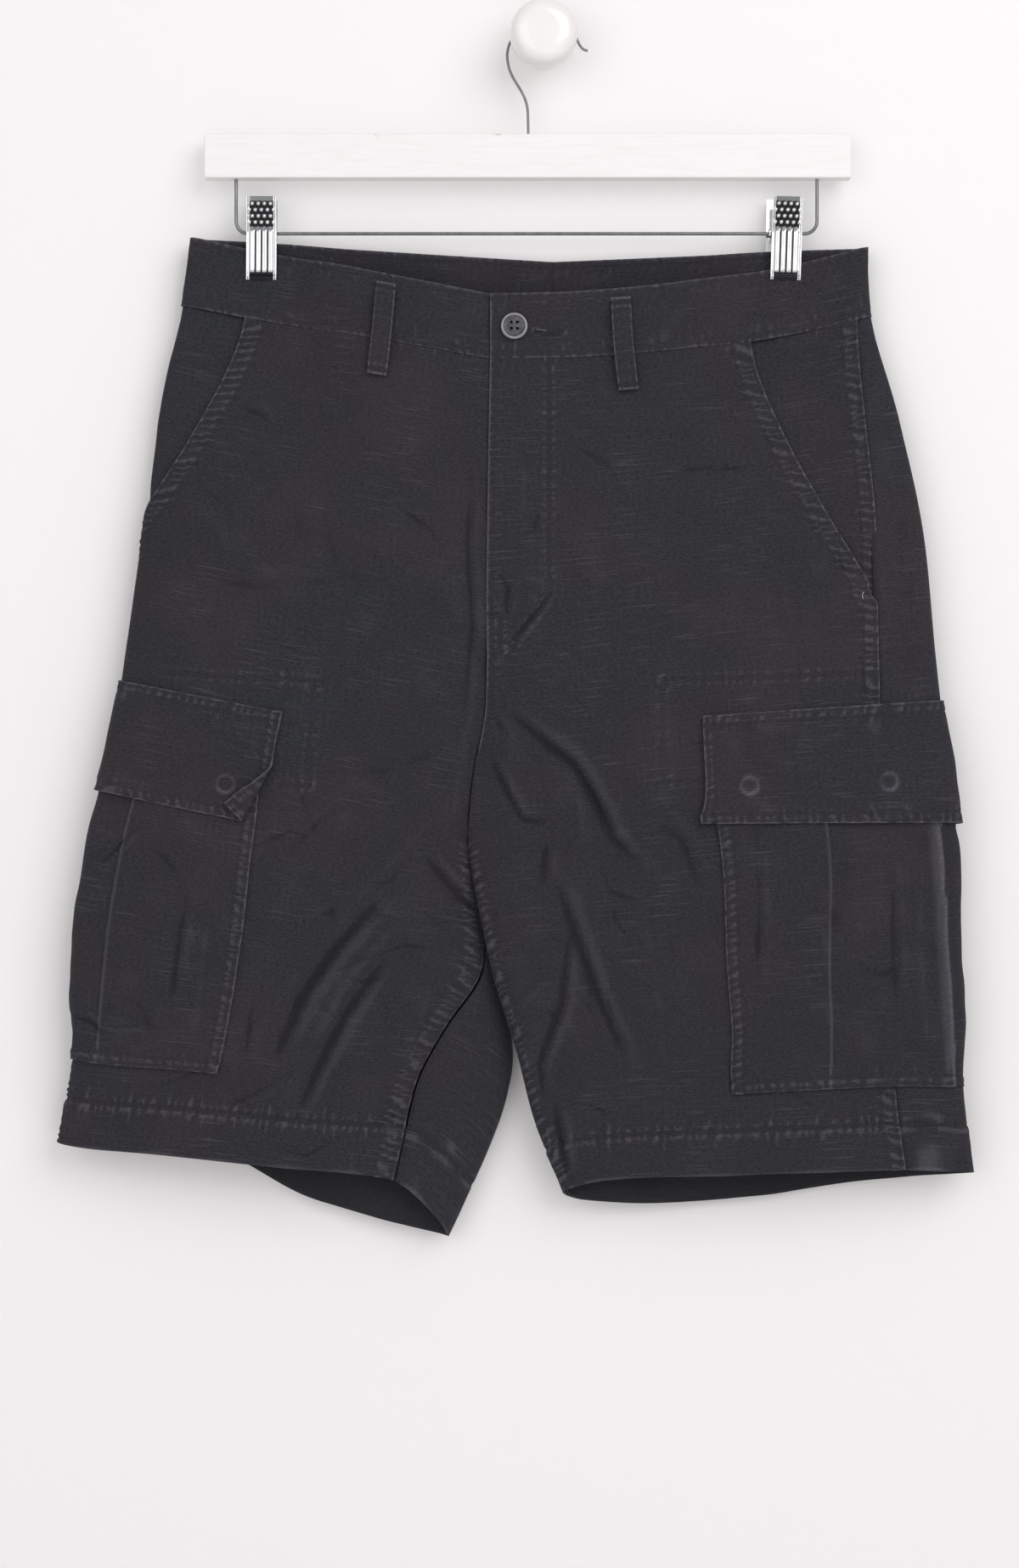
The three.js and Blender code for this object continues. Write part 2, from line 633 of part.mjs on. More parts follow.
// The shield closes the fly from behind, across both fronts
const SHIELD = { top: BAND_TOP + 3, end: FLY_END - 6, right: [0.08, 0.04, 0.004], left: [0.04, 0.09, 0.14] };
function addFlyShield() {
  const falls = [SHIELD.top, BAND_TOP / 2, ...FALLS.filter((fall) => fall < SHIELD.end)];
  const places = ['right', 'left'].flatMap((hand) => SHIELD[hand].map((ring) => [SIDES[hand], ring]));
  const face = (depth) => falls.map((fall) => places.map(([side, ring]) => (
    clothPoint(side, ring, fall, -(BAND_CLOTH + LAYER_GAP) - depth)
  )));
  add('fly_shield', wallGeometry(face(0), face(LINING_CLOTH)), CANVAS_INSIDE);
}

// Cargo pocket: a sheet that swells off the leg, with a pleat whose edge steps down towards the
// back and a bellows that stands out along the back edge
const POCKET_SWELL = 3;
const MOUTH_SWELL = 0.5;
const FILLED = { front: 0.3, back: 0.16, bottom: 0.22, mouth: 0.35 };
const PLEAT_STEP = 1.6;
const PLEAT_HALF = 0.004;
const PLEAT_FADE = { share: 0.6, reach: 0.15 };
function pocketSwell(side, ring, fall) {
  const front = line(side, 'pocket', fall);
  const u = clamp((ring - front) / (side.pocketBack - front), 0, 1);
  const w = clamp((fall - POCKET_TOP) / (POCKET_BOTTOM - POCKET_TOP), 0, 1);
  const filled = ease(u, 0, FILLED.front) * ease(1 - u, 0, FILLED.back) * ease(1 - w, 0, FILLED.bottom);
  return filled * lerp(MOUTH_SWELL, 1, ease(w, 0, FILLED.mouth)) * POCKET_SWELL;
}
function pocketLift(side, ring, fall) {
  const swell = pocketSwell(side, ring, fall);
  const pleat = line(side, 'pleat', fall);
  const fade = PLEAT_FADE.share * ease(ring, pleat, pleat + PLEAT_FADE.reach);
  const step = ring > pleat ? PLEAT_STEP * (1 - fade) : 0;
  return SEAM_GAP + Math.max(swell - step, 0);
}
function addCargoPocket(name, side) {
  const falls = FALLS.filter((fall) => fall >= POCKET_TOP && fall <= POCKET_BOTTOM);
  const columns = (fall) => {
    const front = frontColumns(side, fall);
    const pleat = front[PLEAT_COLUMN];
    return [
      ...front.slice(POCKET_COLUMN, PLEAT_COLUMN), pleat - PLEAT_HALF, pleat + PLEAT_HALF,
      ...front.slice(PLEAT_COLUMN + 1), ...backColumns(side, fall).slice(1, POCKET_BACK_COLUMN + 1),
    ];
  };
  const lift = (ring, fall) => pocketLift(side, ring, fall) + CLOTH;
  add(name, sheet(side, falls, columns, lift, CLOTH), CANVAS);
}

// The flap hangs from its sewn top edge over the pocket's mouth
const FLAP_CLEARS = 0.55;
function flapLift(side, ring, fall) {
  const hang = (fall - FLAP_TOP) / (FLAP_BOTTOM - FLAP_TOP);
  const over = pocketSwell(side, ring, Math.max(fall, POCKET_TOP)) + CLOTH + LAYER_GAP;
  return SEAM_GAP + ease(hang, 0, FLAP_CLEARS) * over;
}
function addCargoFlap(name, side) {
  const falls = FALLS.filter((fall) => fall >= FLAP_TOP && fall <= FLAP_BOTTOM);
  const columns = (fall) => [
    ...frontColumns(side, fall).slice(FLAP_COLUMN),
    ...backColumns(side, fall).slice(1, POCKET_BACK_COLUMN + 1),
  ];
  const lift = (ring, fall) => flapLift(side, ring, fall) + CLOTH;
  add(name, sheet(side, falls, columns, lift, CLOTH), CANVAS);
}

// The turned-up hem is a band inside the leg
function addHem(name, side) {
  const falls = FALLS.filter((fall) => fall >= HEM_STITCH);
  const columns = (fall) => [
    ...frontColumns(side, fall).slice(0, -1), ...backColumns(side, fall).slice(0, -1),
  ];
  const lift = () => -(CLOTH + SEAM_GAP);
  add(name, sheet(side, falls, columns, lift, LINING_CLOTH, true), CANVAS_INSIDE);
}

// Belt loops are strips sewn down at both ends and standing off the band between them
const LOOP_HALF_WIDTH = 6.2;
const LOOP_CLOTH = 1.8;
const LOOP_RISE = 2.4;
const LOOP_TOP = -34;
const LOOP_BOTTOM = 24;
const LOOP_ROWS = 7;
const LOOP_FLATNESS = 0.6;
const LOOP_FALLS = Array.from({ length: LOOP_ROWS + 1 }, (_, n) => (
  lerp(LOOP_TOP, LOOP_BOTTOM, n / LOOP_ROWS)
));
function loopLift(fall) {
  const middle = Math.sin((Math.PI * (fall - LOOP_TOP)) / (LOOP_BOTTOM - LOOP_TOP));
  return LAYER_GAP + LOOP_RISE * Math.max(middle, 0) ** LOOP_FLATNESS;
}
function addBeltLoop(name, stripPoint) {
  const face = (depth) => LOOP_FALLS.map((fall) => [-1, 0, 1].map((across) => (
    stripPoint(across * LOOP_HALF_WIDTH, fall, loopLift(fall) + LOOP_CLOTH - depth)
  )));
  add(name, wallGeometry(face(0), face(LOOP_CLOTH)), CANVAS);
}
function sideLoop(side, ringTop, ringBottom) {
  return (offset, fall, lift) => {
    const ring = lerp(ringTop, ringBottom, (fall - LOOP_TOP) / (LOOP_BOTTOM - LOOP_TOP));
    const perMillimetre = 2 * halfGap(side, ring, fall) / SEAM_GAP;
    return clothPoint(side, ring + offset * perMillimetre, fall, lift);
  };
}
function centreLoop(offset, fall, lift) {
  const side = offset < 0 ? SIDES.right : SIDES.left;
  const perMillimetre = 2 * halfGap(side, 2, fall) / SEAM_GAP;
  return clothPoint(side, 2 - Math.abs(offset) * perMillimetre, fall, lift);
}

// Waist button, turned to lie flat on the band
const BUTTON = {
  radius: 8.5, thickness: 3, rim: 1.6, dish: 1, foot: 1.2, edge: 0.7, ring: 0.062, fall: -19, sides: 28,
};
function addButton() {
  const { radius, thickness, rim, dish, foot, edge } = BUTTON;
  const profile = [
    [0, 0], [radius - foot, 0], [radius, foot], [radius, thickness - edge], [radius - edge, thickness],
    [radius - rim, thickness], [radius - rim - edge, thickness - dish], [0, thickness - dish],
  ].map(([r, y]) => new THREE.Vector2(r, y));
  const side = SIDES.left;
  const lift = flyLift(side, BUTTON.ring, BUTTON.fall) + SEAM_GAP;
  const mesh = add('waist_button', facingOut(new THREE.LatheGeometry(profile, BUTTON.sides)), BUTTON_HORN);
  mesh.position.copy(clothPoint(side, BUTTON.ring, BUTTON.fall, lift));
  mesh.quaternion.setFromUnitVectors(new THREE.Vector3(0, 1, 0), outward(side, BUTTON.ring, BUTTON.fall));
}

// A wire along points of a route, which are the corners of its facets
class Route extends THREE.Curve {
  constructor(points) {
    super();
    this.points = points;
  }

  getPoint(t) {
    const place = clamp(t, 0, 1) * (this.points.length - 1);
    const first = Math.min(Math.floor(place), this.points.length - 2);
    return this.points[first].clone().lerp(this.points[first + 1], place - first);
  }

  getPointAt(t) {
    return this.getPoint(t);
  }

  getTangentAt(t) {
    return this.getTangent(t);
  }
}
function wireGeometry(points) {
  const section = new THREE.Shape();
  for (let n = 0; n < WIRE_SIDES; n += 1) {
    const angle = (2 * Math.PI * n) / WIRE_SIDES;
    const [x, y] = [WIRE_RADIUS * Math.cos(angle), WIRE_RADIUS * Math.sin(angle)];
    if (n === 0) section.moveTo(x, y);
    else section.lineTo(x, y);
  }
  section.closePath();
  const route = new Route(points);
  return facingOut(new THREE.ExtrudeGeometry(section, { steps: points.length - 1, extrudePath: route }));
}
const inClipPlane = (x, z) => new THREE.Vector3(x, CLIP_PLANE, z);
function arcPoints(centreX, centreZ, radius, fromDegrees, toDegrees, steps) {
  return Array.from({ length: steps + 1 }, (_, n) => {
    const angle = THREE.MathUtils.degToRad(lerp(fromDegrees, toDegrees, n / steps));
    return inClipPlane(centreX + radius * Math.cos(angle), centreZ + radius * Math.sin(angle));
  });
}

function addHangerBar() {
  const { left, right, bottom, top, back, front, corner, bevel } = BAR;
  const face = new THREE.Shape();
  const [x0, x1, z0, z1] = [left + bevel, right - bevel, bottom + bevel, top - bevel];
  face.moveTo(x0 + corner, z0);
  face.lineTo(x1 - corner, z0);
  face.absarc(x1 - corner, z0 + corner, corner, -Math.PI / 2, 0);
  face.absarc(x1 - corner, z1 - corner, corner, 0, Math.PI / 2);
  face.absarc(x0 + corner, z1 - corner, corner, Math.PI / 2, Math.PI);
  face.absarc(x0 + corner, z0 + corner, corner, Math.PI, 1.5 * Math.PI);
  const bar = new THREE.ExtrudeGeometry(face, {
    depth: back - front - 2 * bevel,
    bevelThickness: bevel,
    bevelSize: bevel,
    bevelSegments: 2,
    curveSegments: 3,
  });
  bar.rotateX(Math.PI / 2);
  bar.translate(0, back - bevel, 0);
  add('hanger_bar', facingOut(bar), WHITE_WOOD);
}

function addHook() {
  const { centreX, centreZ, radius, footX, tipAngle, steps } = HOOK;
  add('hanger_hook', wireGeometry([
    inClipPlane(footX, BAR.top + SEAM_GAP),
    ...HOOK_BEND.map((bend) => inClipPlane(footX + bend.aside, bend.z)),
    ...arcPoints(centreX, centreZ, radius, 180, tipAngle, steps),
  ]), STEEL);
}

function addClipWire() {
  const { left, right, z, corner, steps } = CLIP_WIRE;
  add('clip_wire', wireGeometry([
    inClipPlane(left, BAR.bottom - SEAM_GAP),
    ...arcPoints(left + corner, z + corner, corner, 180, 270, steps),
    ...arcPoints(right - corner, z + corner, corner, 270, 360, steps),
    inClipPlane(right, BAR.bottom - SEAM_GAP),
  ]), STEEL);
}

// A clip has two pressed jaws with ears that turn on the wire. The jaws are drawn from the side,
// with y across and z up, and extruded across the clip.
const SIDE_VIEW = new THREE.Matrix4().makeBasis(
  new THREE.Vector3(0, 1, 0), new THREE.Vector3(0, 0, 1), new THREE.Vector3(1, 0, 0),
);
const JAW_CLEAR = 0.6;
const JAW_LEAN = 0.4;
const JAW_SPREAD = 3.4;
const SHARE_BELOW_WIRE = 0.572;
const EAR = { radius: 3.2, hole: WIRE_RADIUS + 0.35, facets: 8 };
function jawGeometry(towards, width, earInset) {
  const sheetAt = (y, z) => [towards * y, z];
  const foot = -CLIP_HEIGHT * SHARE_BELOW_WIRE;
  const head = foot + CLIP_HEIGHT;
  const grip = PRESSED + JAW_CLEAR;
  const outline = [
    sheetAt(grip, foot), sheetAt(grip + JAW_LEAN, 0), sheetAt(grip + JAW_SPREAD, head),
    sheetAt(grip + JAW_SPREAD + CLIP_SHEET, head), sheetAt(grip + JAW_LEAN + CLIP_SHEET, 0),
    sheetAt(grip + CLIP_SHEET, foot),
  ];
  const plateShape = new THREE.Shape(outline.map(([y, z]) => new THREE.Vector2(y, z)));
  const plate = new THREE.ExtrudeGeometry(plateShape, { depth: width, bevelEnabled: false });
  plate.translate(0, 0, -width / 2);
  plate.applyMatrix4(SIDE_VIEW);
  let jaw = toManifold(plate);
  const overlap = grip + JAW_LEAN + CLIP_SHEET / 2;
  const earShape = new THREE.Shape();
  const start = towards > 0 ? -Math.PI / 2 : Math.PI / 2;
  earShape.moveTo(towards * overlap, -EAR.radius * towards);
  earShape.lineTo(towards * overlap, EAR.radius * towards);
  earShape.absarc(0, 0, EAR.radius, -start, start, false);
  earShape.closePath();
  const hole = new THREE.Path();
  hole.absarc(0, 0, EAR.hole, 0, 2 * Math.PI, true);
  earShape.holes.push(hole);
  const sideways = { depth: CLIP_SHEET, bevelEnabled: false, curveSegments: EAR.facets };
  for (const end of [-1, 1]) {
    const ear = new THREE.ExtrudeGeometry(earShape, sideways);
    ear.translate(0, 0, end * (width / 2 - earInset - CLIP_SHEET / 2) - CLIP_SHEET / 2);
    ear.applyMatrix4(SIDE_VIEW);
    jaw = jaw.add(toManifold(ear));
  }
  return fromManifold(jaw);
}
const BACK_JAW = { narrower: 0.6, earInset: 1.4 };
const CLIPS = [
  { name: 'clip_right', x: SIDES.right.clipX, tilt: 0.4, backShift: 0 },
  { name: 'clip_left', x: SIDES.left.clipX, tilt: 1.8, backShift: -3.2 },
];
function addClips() {
  const frontJaw = jawGeometry(-1, CLIP_WIDTH, 0);
  const backJaw = jawGeometry(1, CLIP_WIDTH - BACK_JAW.narrower, BACK_JAW.earInset);
  for (const clip of CLIPS) {
    const group = new THREE.Group();
    group.position.set(clip.x, CLIP_PLANE, CLIP_WIRE.z);
    group.rotation.y = THREE.MathUtils.degToRad(clip.tilt);
    add(`${clip.name}_front`, frontJaw, CHROME, group);
    add(`${clip.name}_back`, backJaw, CHROME, group).position.x = clip.backShift;
    shorts.add(group);
  }
}

function addKnob() {
  const outline = KNOB_PROFILE.map(({ radius, y }) => new THREE.Vector2(radius, y));
  const front = KNOB_PROFILE[KNOB_PROFILE.length - 1].y;
  const profile = [new THREE.Vector2(0, 0), ...outline, new THREE.Vector2(0, front)];
  add('wall_knob', facingOut(new THREE.LatheGeometry(profile, KNOB_SIDES)), KNOB_GLOSS);
}

const LOOP_PLACES = { frontTop: 0.335, frontBottom: 0.345, back: 1.5 };
for (const [hand, side] of Object.entries(SIDES)) {
  addFront(`front_${hand}`, side);
  addBack(`back_${hand}`, side);
  addWaistband(`waistband_${hand}`, side);
  addPocketFacing(`pocket_facing_${hand}`, side);
  addCargoPocket(`cargo_pocket_${hand}`, side);
  addCargoFlap(`cargo_flap_${hand}`, side);
  addHem(`hem_${hand}`, side);
  addBeltLoop(`belt_loop_front_${hand}`, sideLoop(side, LOOP_PLACES.frontTop, LOOP_PLACES.frontBottom));
  addBeltLoop(`belt_loop_back_${hand}`, sideLoop(side, LOOP_PLACES.back, LOOP_PLACES.back));
}
addBeltLoop('belt_loop_centre_back', centreLoop);
addFlyShield();
addButton();
addHangerBar();
addHook();
addClipWire();
addClips();
addKnob();

export default shorts;
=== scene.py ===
import json
import math

import bmesh
import bpy
import numpy as np
from bpy.props import FloatProperty, FloatVectorProperty, PointerProperty
from bpy.types import Operator, Panel, PropertyGroup
from mathutils import Matrix, Vector

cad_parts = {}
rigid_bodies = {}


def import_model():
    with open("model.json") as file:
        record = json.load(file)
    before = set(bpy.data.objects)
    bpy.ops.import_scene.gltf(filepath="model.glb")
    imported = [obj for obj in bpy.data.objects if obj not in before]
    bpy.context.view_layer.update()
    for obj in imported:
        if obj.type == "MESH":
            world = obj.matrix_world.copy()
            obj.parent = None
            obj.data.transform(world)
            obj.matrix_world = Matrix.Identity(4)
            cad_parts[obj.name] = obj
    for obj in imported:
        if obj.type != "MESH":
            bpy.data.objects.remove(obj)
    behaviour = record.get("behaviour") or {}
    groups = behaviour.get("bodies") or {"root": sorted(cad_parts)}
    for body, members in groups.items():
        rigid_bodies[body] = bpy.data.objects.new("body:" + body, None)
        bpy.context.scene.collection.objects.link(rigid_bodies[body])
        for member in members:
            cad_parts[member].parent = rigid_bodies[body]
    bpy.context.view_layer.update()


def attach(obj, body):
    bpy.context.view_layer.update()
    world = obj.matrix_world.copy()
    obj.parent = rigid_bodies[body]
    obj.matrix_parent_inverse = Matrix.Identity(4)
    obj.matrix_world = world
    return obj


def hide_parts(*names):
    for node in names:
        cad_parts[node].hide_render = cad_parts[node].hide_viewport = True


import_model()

bl_info = {
    "name": "Cargo shorts on a clip hanger",
    "version": (1, 0, 0),
    "blender": (4, 5, 0),
    "location": "3D Viewport > Sidebar > Shorts",
    "description": "Builds washed canvas cargo shorts hung from a wall knob by a clip hanger",
    "category": "Object",
}

MILLIMETRE = 0.001
MERGE_DISTANCE = 1e-5

# Cloth, in millimetres; fall is the length down the cloth from the waist seam
CLOTH = 1.4
BAND_CLOTH = 2.2
LINING_CLOTH = 1.0
LAYER_GAP = 0.5
SEAM_GAP = 0.3
BAND_TOP = -40
SLANT_END = 178
FLY_END = 180
FLAP_TOP = 247
POCKET_TOP = 290
CROTCH = 303
FLAP_BOTTOM = 320
POCKET_BOTTOM = 495
HEM_STITCH = 520
HEM = 550

# Folds at the sides of a flattened leg
FOLD_REACH = 0.04
FOLD_SHARE = 0.062
FOLD_DEPTH = 6
CROWN_POWER = 2.2
CENTRE_DEPTH = -20
CROTCH_ROUND = 30
BAND_DIP_END = 200
HEM_RISE_START = 330
HEM_RISE_END = 530
CLOSING_FRONT = 140
CLOSING_BACK = 215

# The place where a clip presses the waistband flat
CLIP_PLANE = -14
PRESSED = 2.7
CLIP_WIDTH = 19.4
CLIP_HEIGHT = 53
PRESS_REACH = 45
PRESS_SPREAD = 0.25
PRESS_END = 110


def table(names, *rows):
    """Named columns from rows of numbers; the first column is the one that is looked up"""
    columns = names.split()
    made = {name: np.array([row[n] for row in rows], float) for n, name in enumerate(columns)}
    made["at"] = made[columns[0]]
    return made


CENTRE_FRONT = table(
    "fall x z",
    (-40, -34, -165), (0, -34, -206), (66, -35, -273), (138, -36, -345),
    (220, -37, -429), (264, -45, -473), (303, -49, -512),
)
CENTRE_BACK = table(
    "fall x z",
    (-40, 6, -141), (0, 6, -182), (66, 4, -254), (138, 0, -329),
    (220, -9, -416), (264, -24, -467), (303, -49, -512),
)
CROWNS = table(
    "fall front back",
    (-40, -30, -5), (0, -33, -5), (66, -38, -4), (138, -42, -4), (220, -44, -5),
    (303, -45, -7), (400, -44, -8), (500, -41, -8), (550, -39, -8),
)

# Ring positions: 0 is the centre front or the inner fold, 1 the outer fold, 2 the centre back
SIDES = {
    "right": {
        "hand": "right", "turn": 1, "clip_x": -180.4, "slant_top": 0.775, "band_dip": 0,
        "fly_step": 0, "pocket_back": 1.24, "grain": -0.095, "seed": 10,
        "outer": table(
            "fall x z y",
            (-40, -226, -127, -15), (0, -232, -170, -15), (66, -246, -234, -17),
            (138, -255, -304, -19), (220, -266, -385, -21), (303, -278, -465, -23),
            (350, -288, -511, -24), (400, -296, -560, -24), (450, -299, -609, -24),
            (500, -301, -657, -23), (550, -310, -706, -22),
        ),
        "inner": table(
            "fall x z y",
            (303, -49, -512, -20), (350, -38, -561, -12.5), (400, -24, -613, -12),
            (450, -20, -664, -12), (500, -36, -715, -13), (550, -61, -767, -16),
        ),
        "lines": table(
            "fall inseam flap pocket pleat side",
            (0, 0, 0.37, 0.4, 0.68, 1.17), (178, 0, 0.52, 0.55, 0.85, 1.1),
            (247, 0, 0.53, 0.56, 0.87, 1.08), (303, 0, 0.54, 0.57, 0.885, 1.06),
            (380, 0.058, 0.57, 0.6, 0.9, 1.04), (445, 0.172, 0.6, 0.63, 0.912, 1.04),
            (490, 0.2, 0.61, 0.64, 0.92, 1.03), (550, 0.157, 0.62, 0.65, 0.925, 1.02),
        ),
        "hem_rise": table(
            "ring rise",
            (0, 0), (0.13, 27), (0.22, 29), (0.4, 22), (0.56, 16), (0.7, 11), (1, 0),
            (1.2, 12), (1.42, 17), (1.62, 3), (1.8, 0), (2, 0),
        ),
    },
    "left": {
        "hand": "left", "turn": -1, "clip_x": 156, "slant_top": 0.667, "band_dip": 8,
        "fly_step": 1.2, "pocket_back": 1.06, "grain": 0.1, "seed": 60,
        "outer": table(
            "fall x z y",
            (-40, 208, -133, -15), (0, 210, -177, -15), (66, 228, -243, -17),
            (138, 243, -314, -19), (220, 251, -396, -21), (303, 260, -479, -23),
            (350, 265, -526, -24), (400, 265, -576, -24), (450, 268, -626, -24),
            (500, 269, -675, -23), (550, 276, -725, -22),
        ),
        "inner": table(
            "fall x z y",
            (303, -49, -512, -20), (350, -41, -555, -28), (400, -31, -601, -29),
            (450, -17, -646, -28), (500, -5, -692, -26), (550, 13, -737, -24),
        ),
        "lines": table(
            "fall inseam flap pocket pleat side",
            (0, 0, 0.32, 0.35, 0.5, 0.94), (66, 0, 0.38, 0.41, 0.58, 0.895),
            (178, 0, 0.46, 0.49, 0.69, 0.858), (247, 0, 0.47, 0.5, 0.71, 0.844),
            (303, 0, 0.48, 0.51, 0.72, 0.838), (380, 0, 0.47, 0.5, 0.71, 0.83),
            (445, 0, 0.45, 0.48, 0.69, 0.822), (490, 0, 0.43, 0.46, 0.68, 0.819),
            (550, 0, 0.42, 0.45, 0.67, 0.81),
        ),
        "hem_rise": table(
            "ring rise",
            (0, 0), (0.12, 7), (0.4, 7), (0.8, 5), (1, 0), (1.3, -4), (1.5, -10),
            (1.74, -12), (1.93, -7), (2, 0),
        ),
    },
}

# Creases, each a line of (x, z) places, its rise (a trough is negative) and its half width
FRONT_CREASES = {
    "right": (
        (((-106, -554), (-130, -581), (-150, -609), (-168, -648)), -3.2, 6),
        (((-100, -589), (-125, -624), (-142, -657), (-156, -687)), -2.6, 5.5),
        (((-92, -567), (-122, -600), (-146, -643)), 0.8, 6),
        (((-54, -481), (-92, -524), (-119, -551), (-138, -589)), 0.6, 9),
        (((-74, -524), (-58, -542), (-42, -559)), -2.2, 5),
        (((-192, -236), (-181, -240), (-172, -248)), -0.9, 4),
        (((-45, -281), (-48, -324), (-45, -378), (-50, -432)), -1.2, 5),
        (((-184, -616), (-189, -654)), -1, 5),
        (((-65, -583), (-78, -627), (-97, -675)), 0.6, 8),
                (((-225, -345), (-180, -352), (-120, -346)), -0.7, 9),
        (((-60, -455), (-100, -470), (-150, -470)), -0.6, 10),
        (((-120, -690), (-122, -720), (-118, -740)), 0.5, 5),
    ),
    "left": (
        (((-18, -434), (2, -451), (18, -463), (33, -487), (43, -505)), -3, 5.5),
        (((22, -465), (44, -511), (60, -527)), -2.2, 5),
        (((10, -542), (22, -576), (36, -616), (50, -645)), -2.8, 6),
        (((-32, -433), (-24, -446)), -1.2, 4),
        (((-32, -463), (-23, -482), (-14, -499), (0, -501)), -2.2, 4),
        (((2, -516), (0, -539)), -1.6, 5),
        (((16, -576), (12, -616), (-2, -654), (0, -676)), -2.2, 5),
        (((8, -681), (12, -708), (15, -729)), -2.4, 5),
        (((61, -280), (88, -277), (141, -275)), -0.9, 2.6),
        (((53, -238), (55, -302), (58, -389)), 0.3, 7),
        (((4, -357), (-4, -368), (-14, -380), (-23, -390)), -1.6, 3.6),
        (((-11, -248), (-12, -281), (-13, -324)), 0.5, 3),
        (((-2, -300), (-6, -318), (2, -330)), -0.8, 3),
        (((-14, -346), (-3, -348), (2, -352)), 1.0, 3),
        (((-9, -355), (-3, -362)), 1.0, 3),
        (((-30, -340), (-22, -352), (-24, -372)), -1.1, 4),
        (((64, -560), (74, -620), (84, -690)), 0.5, 9),
        (((70, -500), (88, -512), (100, -545)), -0.9, 8),
    ),
}
BACK_CREASES = {
    "right": (
        (((-60, -480), (-105, -525), (-150, -560)), -2.2, 9),
        (((-50, -540), (-95, -590), (-125, -640)), -2, 8),
        (((-200, -250), (-150, -300), (-90, -330)), 1.4, 14),
        (((-230, -560), (-205, -620), (-200, -680)), -1.6, 9),
        (((-30, -250), (-80, -262), (-140, -258)), -1, 8),
    ),
    "left": (
        (((-25, -485), (30, -520), (85, -545)), -2.2, 9),
        (((-15, -560), (25, -610), (40, -670)), -2, 8),
        (((190, -260), (130, -300), (80, -325)), 1.4, 14),
        (((200, -580), (185, -640), (190, -700)), -1.6, 9),
        (((20, -245), (70, -258), (120, -250)), -1, 8),
    ),
}
POCKET_CREASES = {
    "right": (
        (((-254, -502), (-265, -513), (-281, -529)), -1.5, 3.5),
        (((-251, -519), (-241, -521), (-230, -535)), -1, 4),
        (((-224, -543), (-230, -578), (-235, -616)), -1.6, 5),
        (((-272, -633), (-257, -632), (-243, -634)), 1.6, 3.5),
        (((-300, -624), (-289, -627), (-278, -635)), -2, 3.5),
        (((-211, -560), (-216, -600), (-219, -640)), 1.0, 6),
    ),
    "left": (
        (((135, -508), (136, -562), (134, -616)), -1.3, 5),
        (((218, -519), (222, -573), (224, -627)), -1.6, 5),
        (((195, -589), (211, -597), (227, -594)), -0.9, 5),
        (((263, -502), (265, -508), (268, -513)), -2, 3),
        (((180, -520), (178, -570), (182, -640)), 1.1, 9),
        (((238, -530), (240, -590), (242, -640)), 1.0, 7),
    ),
}


def lerp(first, second, share):
    return first + (second - first) * share


def ease(value, start, end):
    """Smooth step from 0 at start to 1 at end"""
    share = np.clip((value - start) / (end - start), 0, 1)
    return share * share * (3 - 2 * share)


def within(value, start, full, fade, end):
    """1 from full to fade, and 0 before start and after end"""
    return ease(value, start, full) * (1 - ease(value, fade, end))


def along(rows, column, place):
    """The value of a column at places along a table, on a smooth curve through its rows"""
    keys, values = rows["at"], rows[column]
    last = len(keys) - 1
    place = np.clip(place, keys[0], keys[last])
    row = np.clip(np.searchsorted(keys, place, side="left") - 1, 0, last - 1)
    before = np.maximum(np.arange(last + 1) - 1, 0)
    after = np.minimum(np.arange(last + 1) + 1, last)
    slope = (values[after] - values[before]) / (keys[after] - keys[before])
    span = keys[row + 1] - keys[row]
    u = (place - keys[row]) / span
    u2, u3 = u * u, u * u * u
    return (
        (2 * u3 - 3 * u2 + 1) * values[row] + (u3 - 2 * u2 + u) * span * slope[row]
        + (3 * u2 - 2 * u3) * values[row + 1] + (u3 - u2) * span * slope[row + 1]
    )


# The form of the cloth, which repeats that of the CAD solids
def roll_in(fall):
    u = np.clip((fall - CROTCH + CROTCH_ROUND) / CROTCH_ROUND, 0, 1)
    return 1 - np.sqrt(1 - u * u)


def across_width(place, rolled):
    q, w = FOLD_SHARE, FOLD_REACH

    def turned(distance):
        return w * (1 - np.cos((math.pi / 2) * (distance / q)))

    straight = place * (1 - w) / (1 - q)
    closed = np.where(place < q, turned(place), w + (place - q) * (1 - 2 * w) / (1 - 2 * q))
    return np.where(place > 1 - q, 1 - turned(1 - place), lerp(straight, closed, rolled))


def fold_round(place, rolled):
    def rise(distance):
        return np.sin((math.pi / 2) * np.clip(distance / FOLD_SHARE, 0, 1))

    return rise(1 - place) * (1 - rolled * (1 - rise(place)))


def pressed(side, x, fall):
    """How much a clip presses the two layers of the waistband together"""
    beside = np.abs(x - side["clip_x"]) - CLIP_WIDTH / 2
    reach = PRESS_REACH + PRESS_SPREAD * (fall - BAND_TOP)
    share = np.clip(beside / reach, 0, 1)
    return (1 - share * share * (3 - 2 * share)) * (1 - ease(fall, 0, PRESS_END))


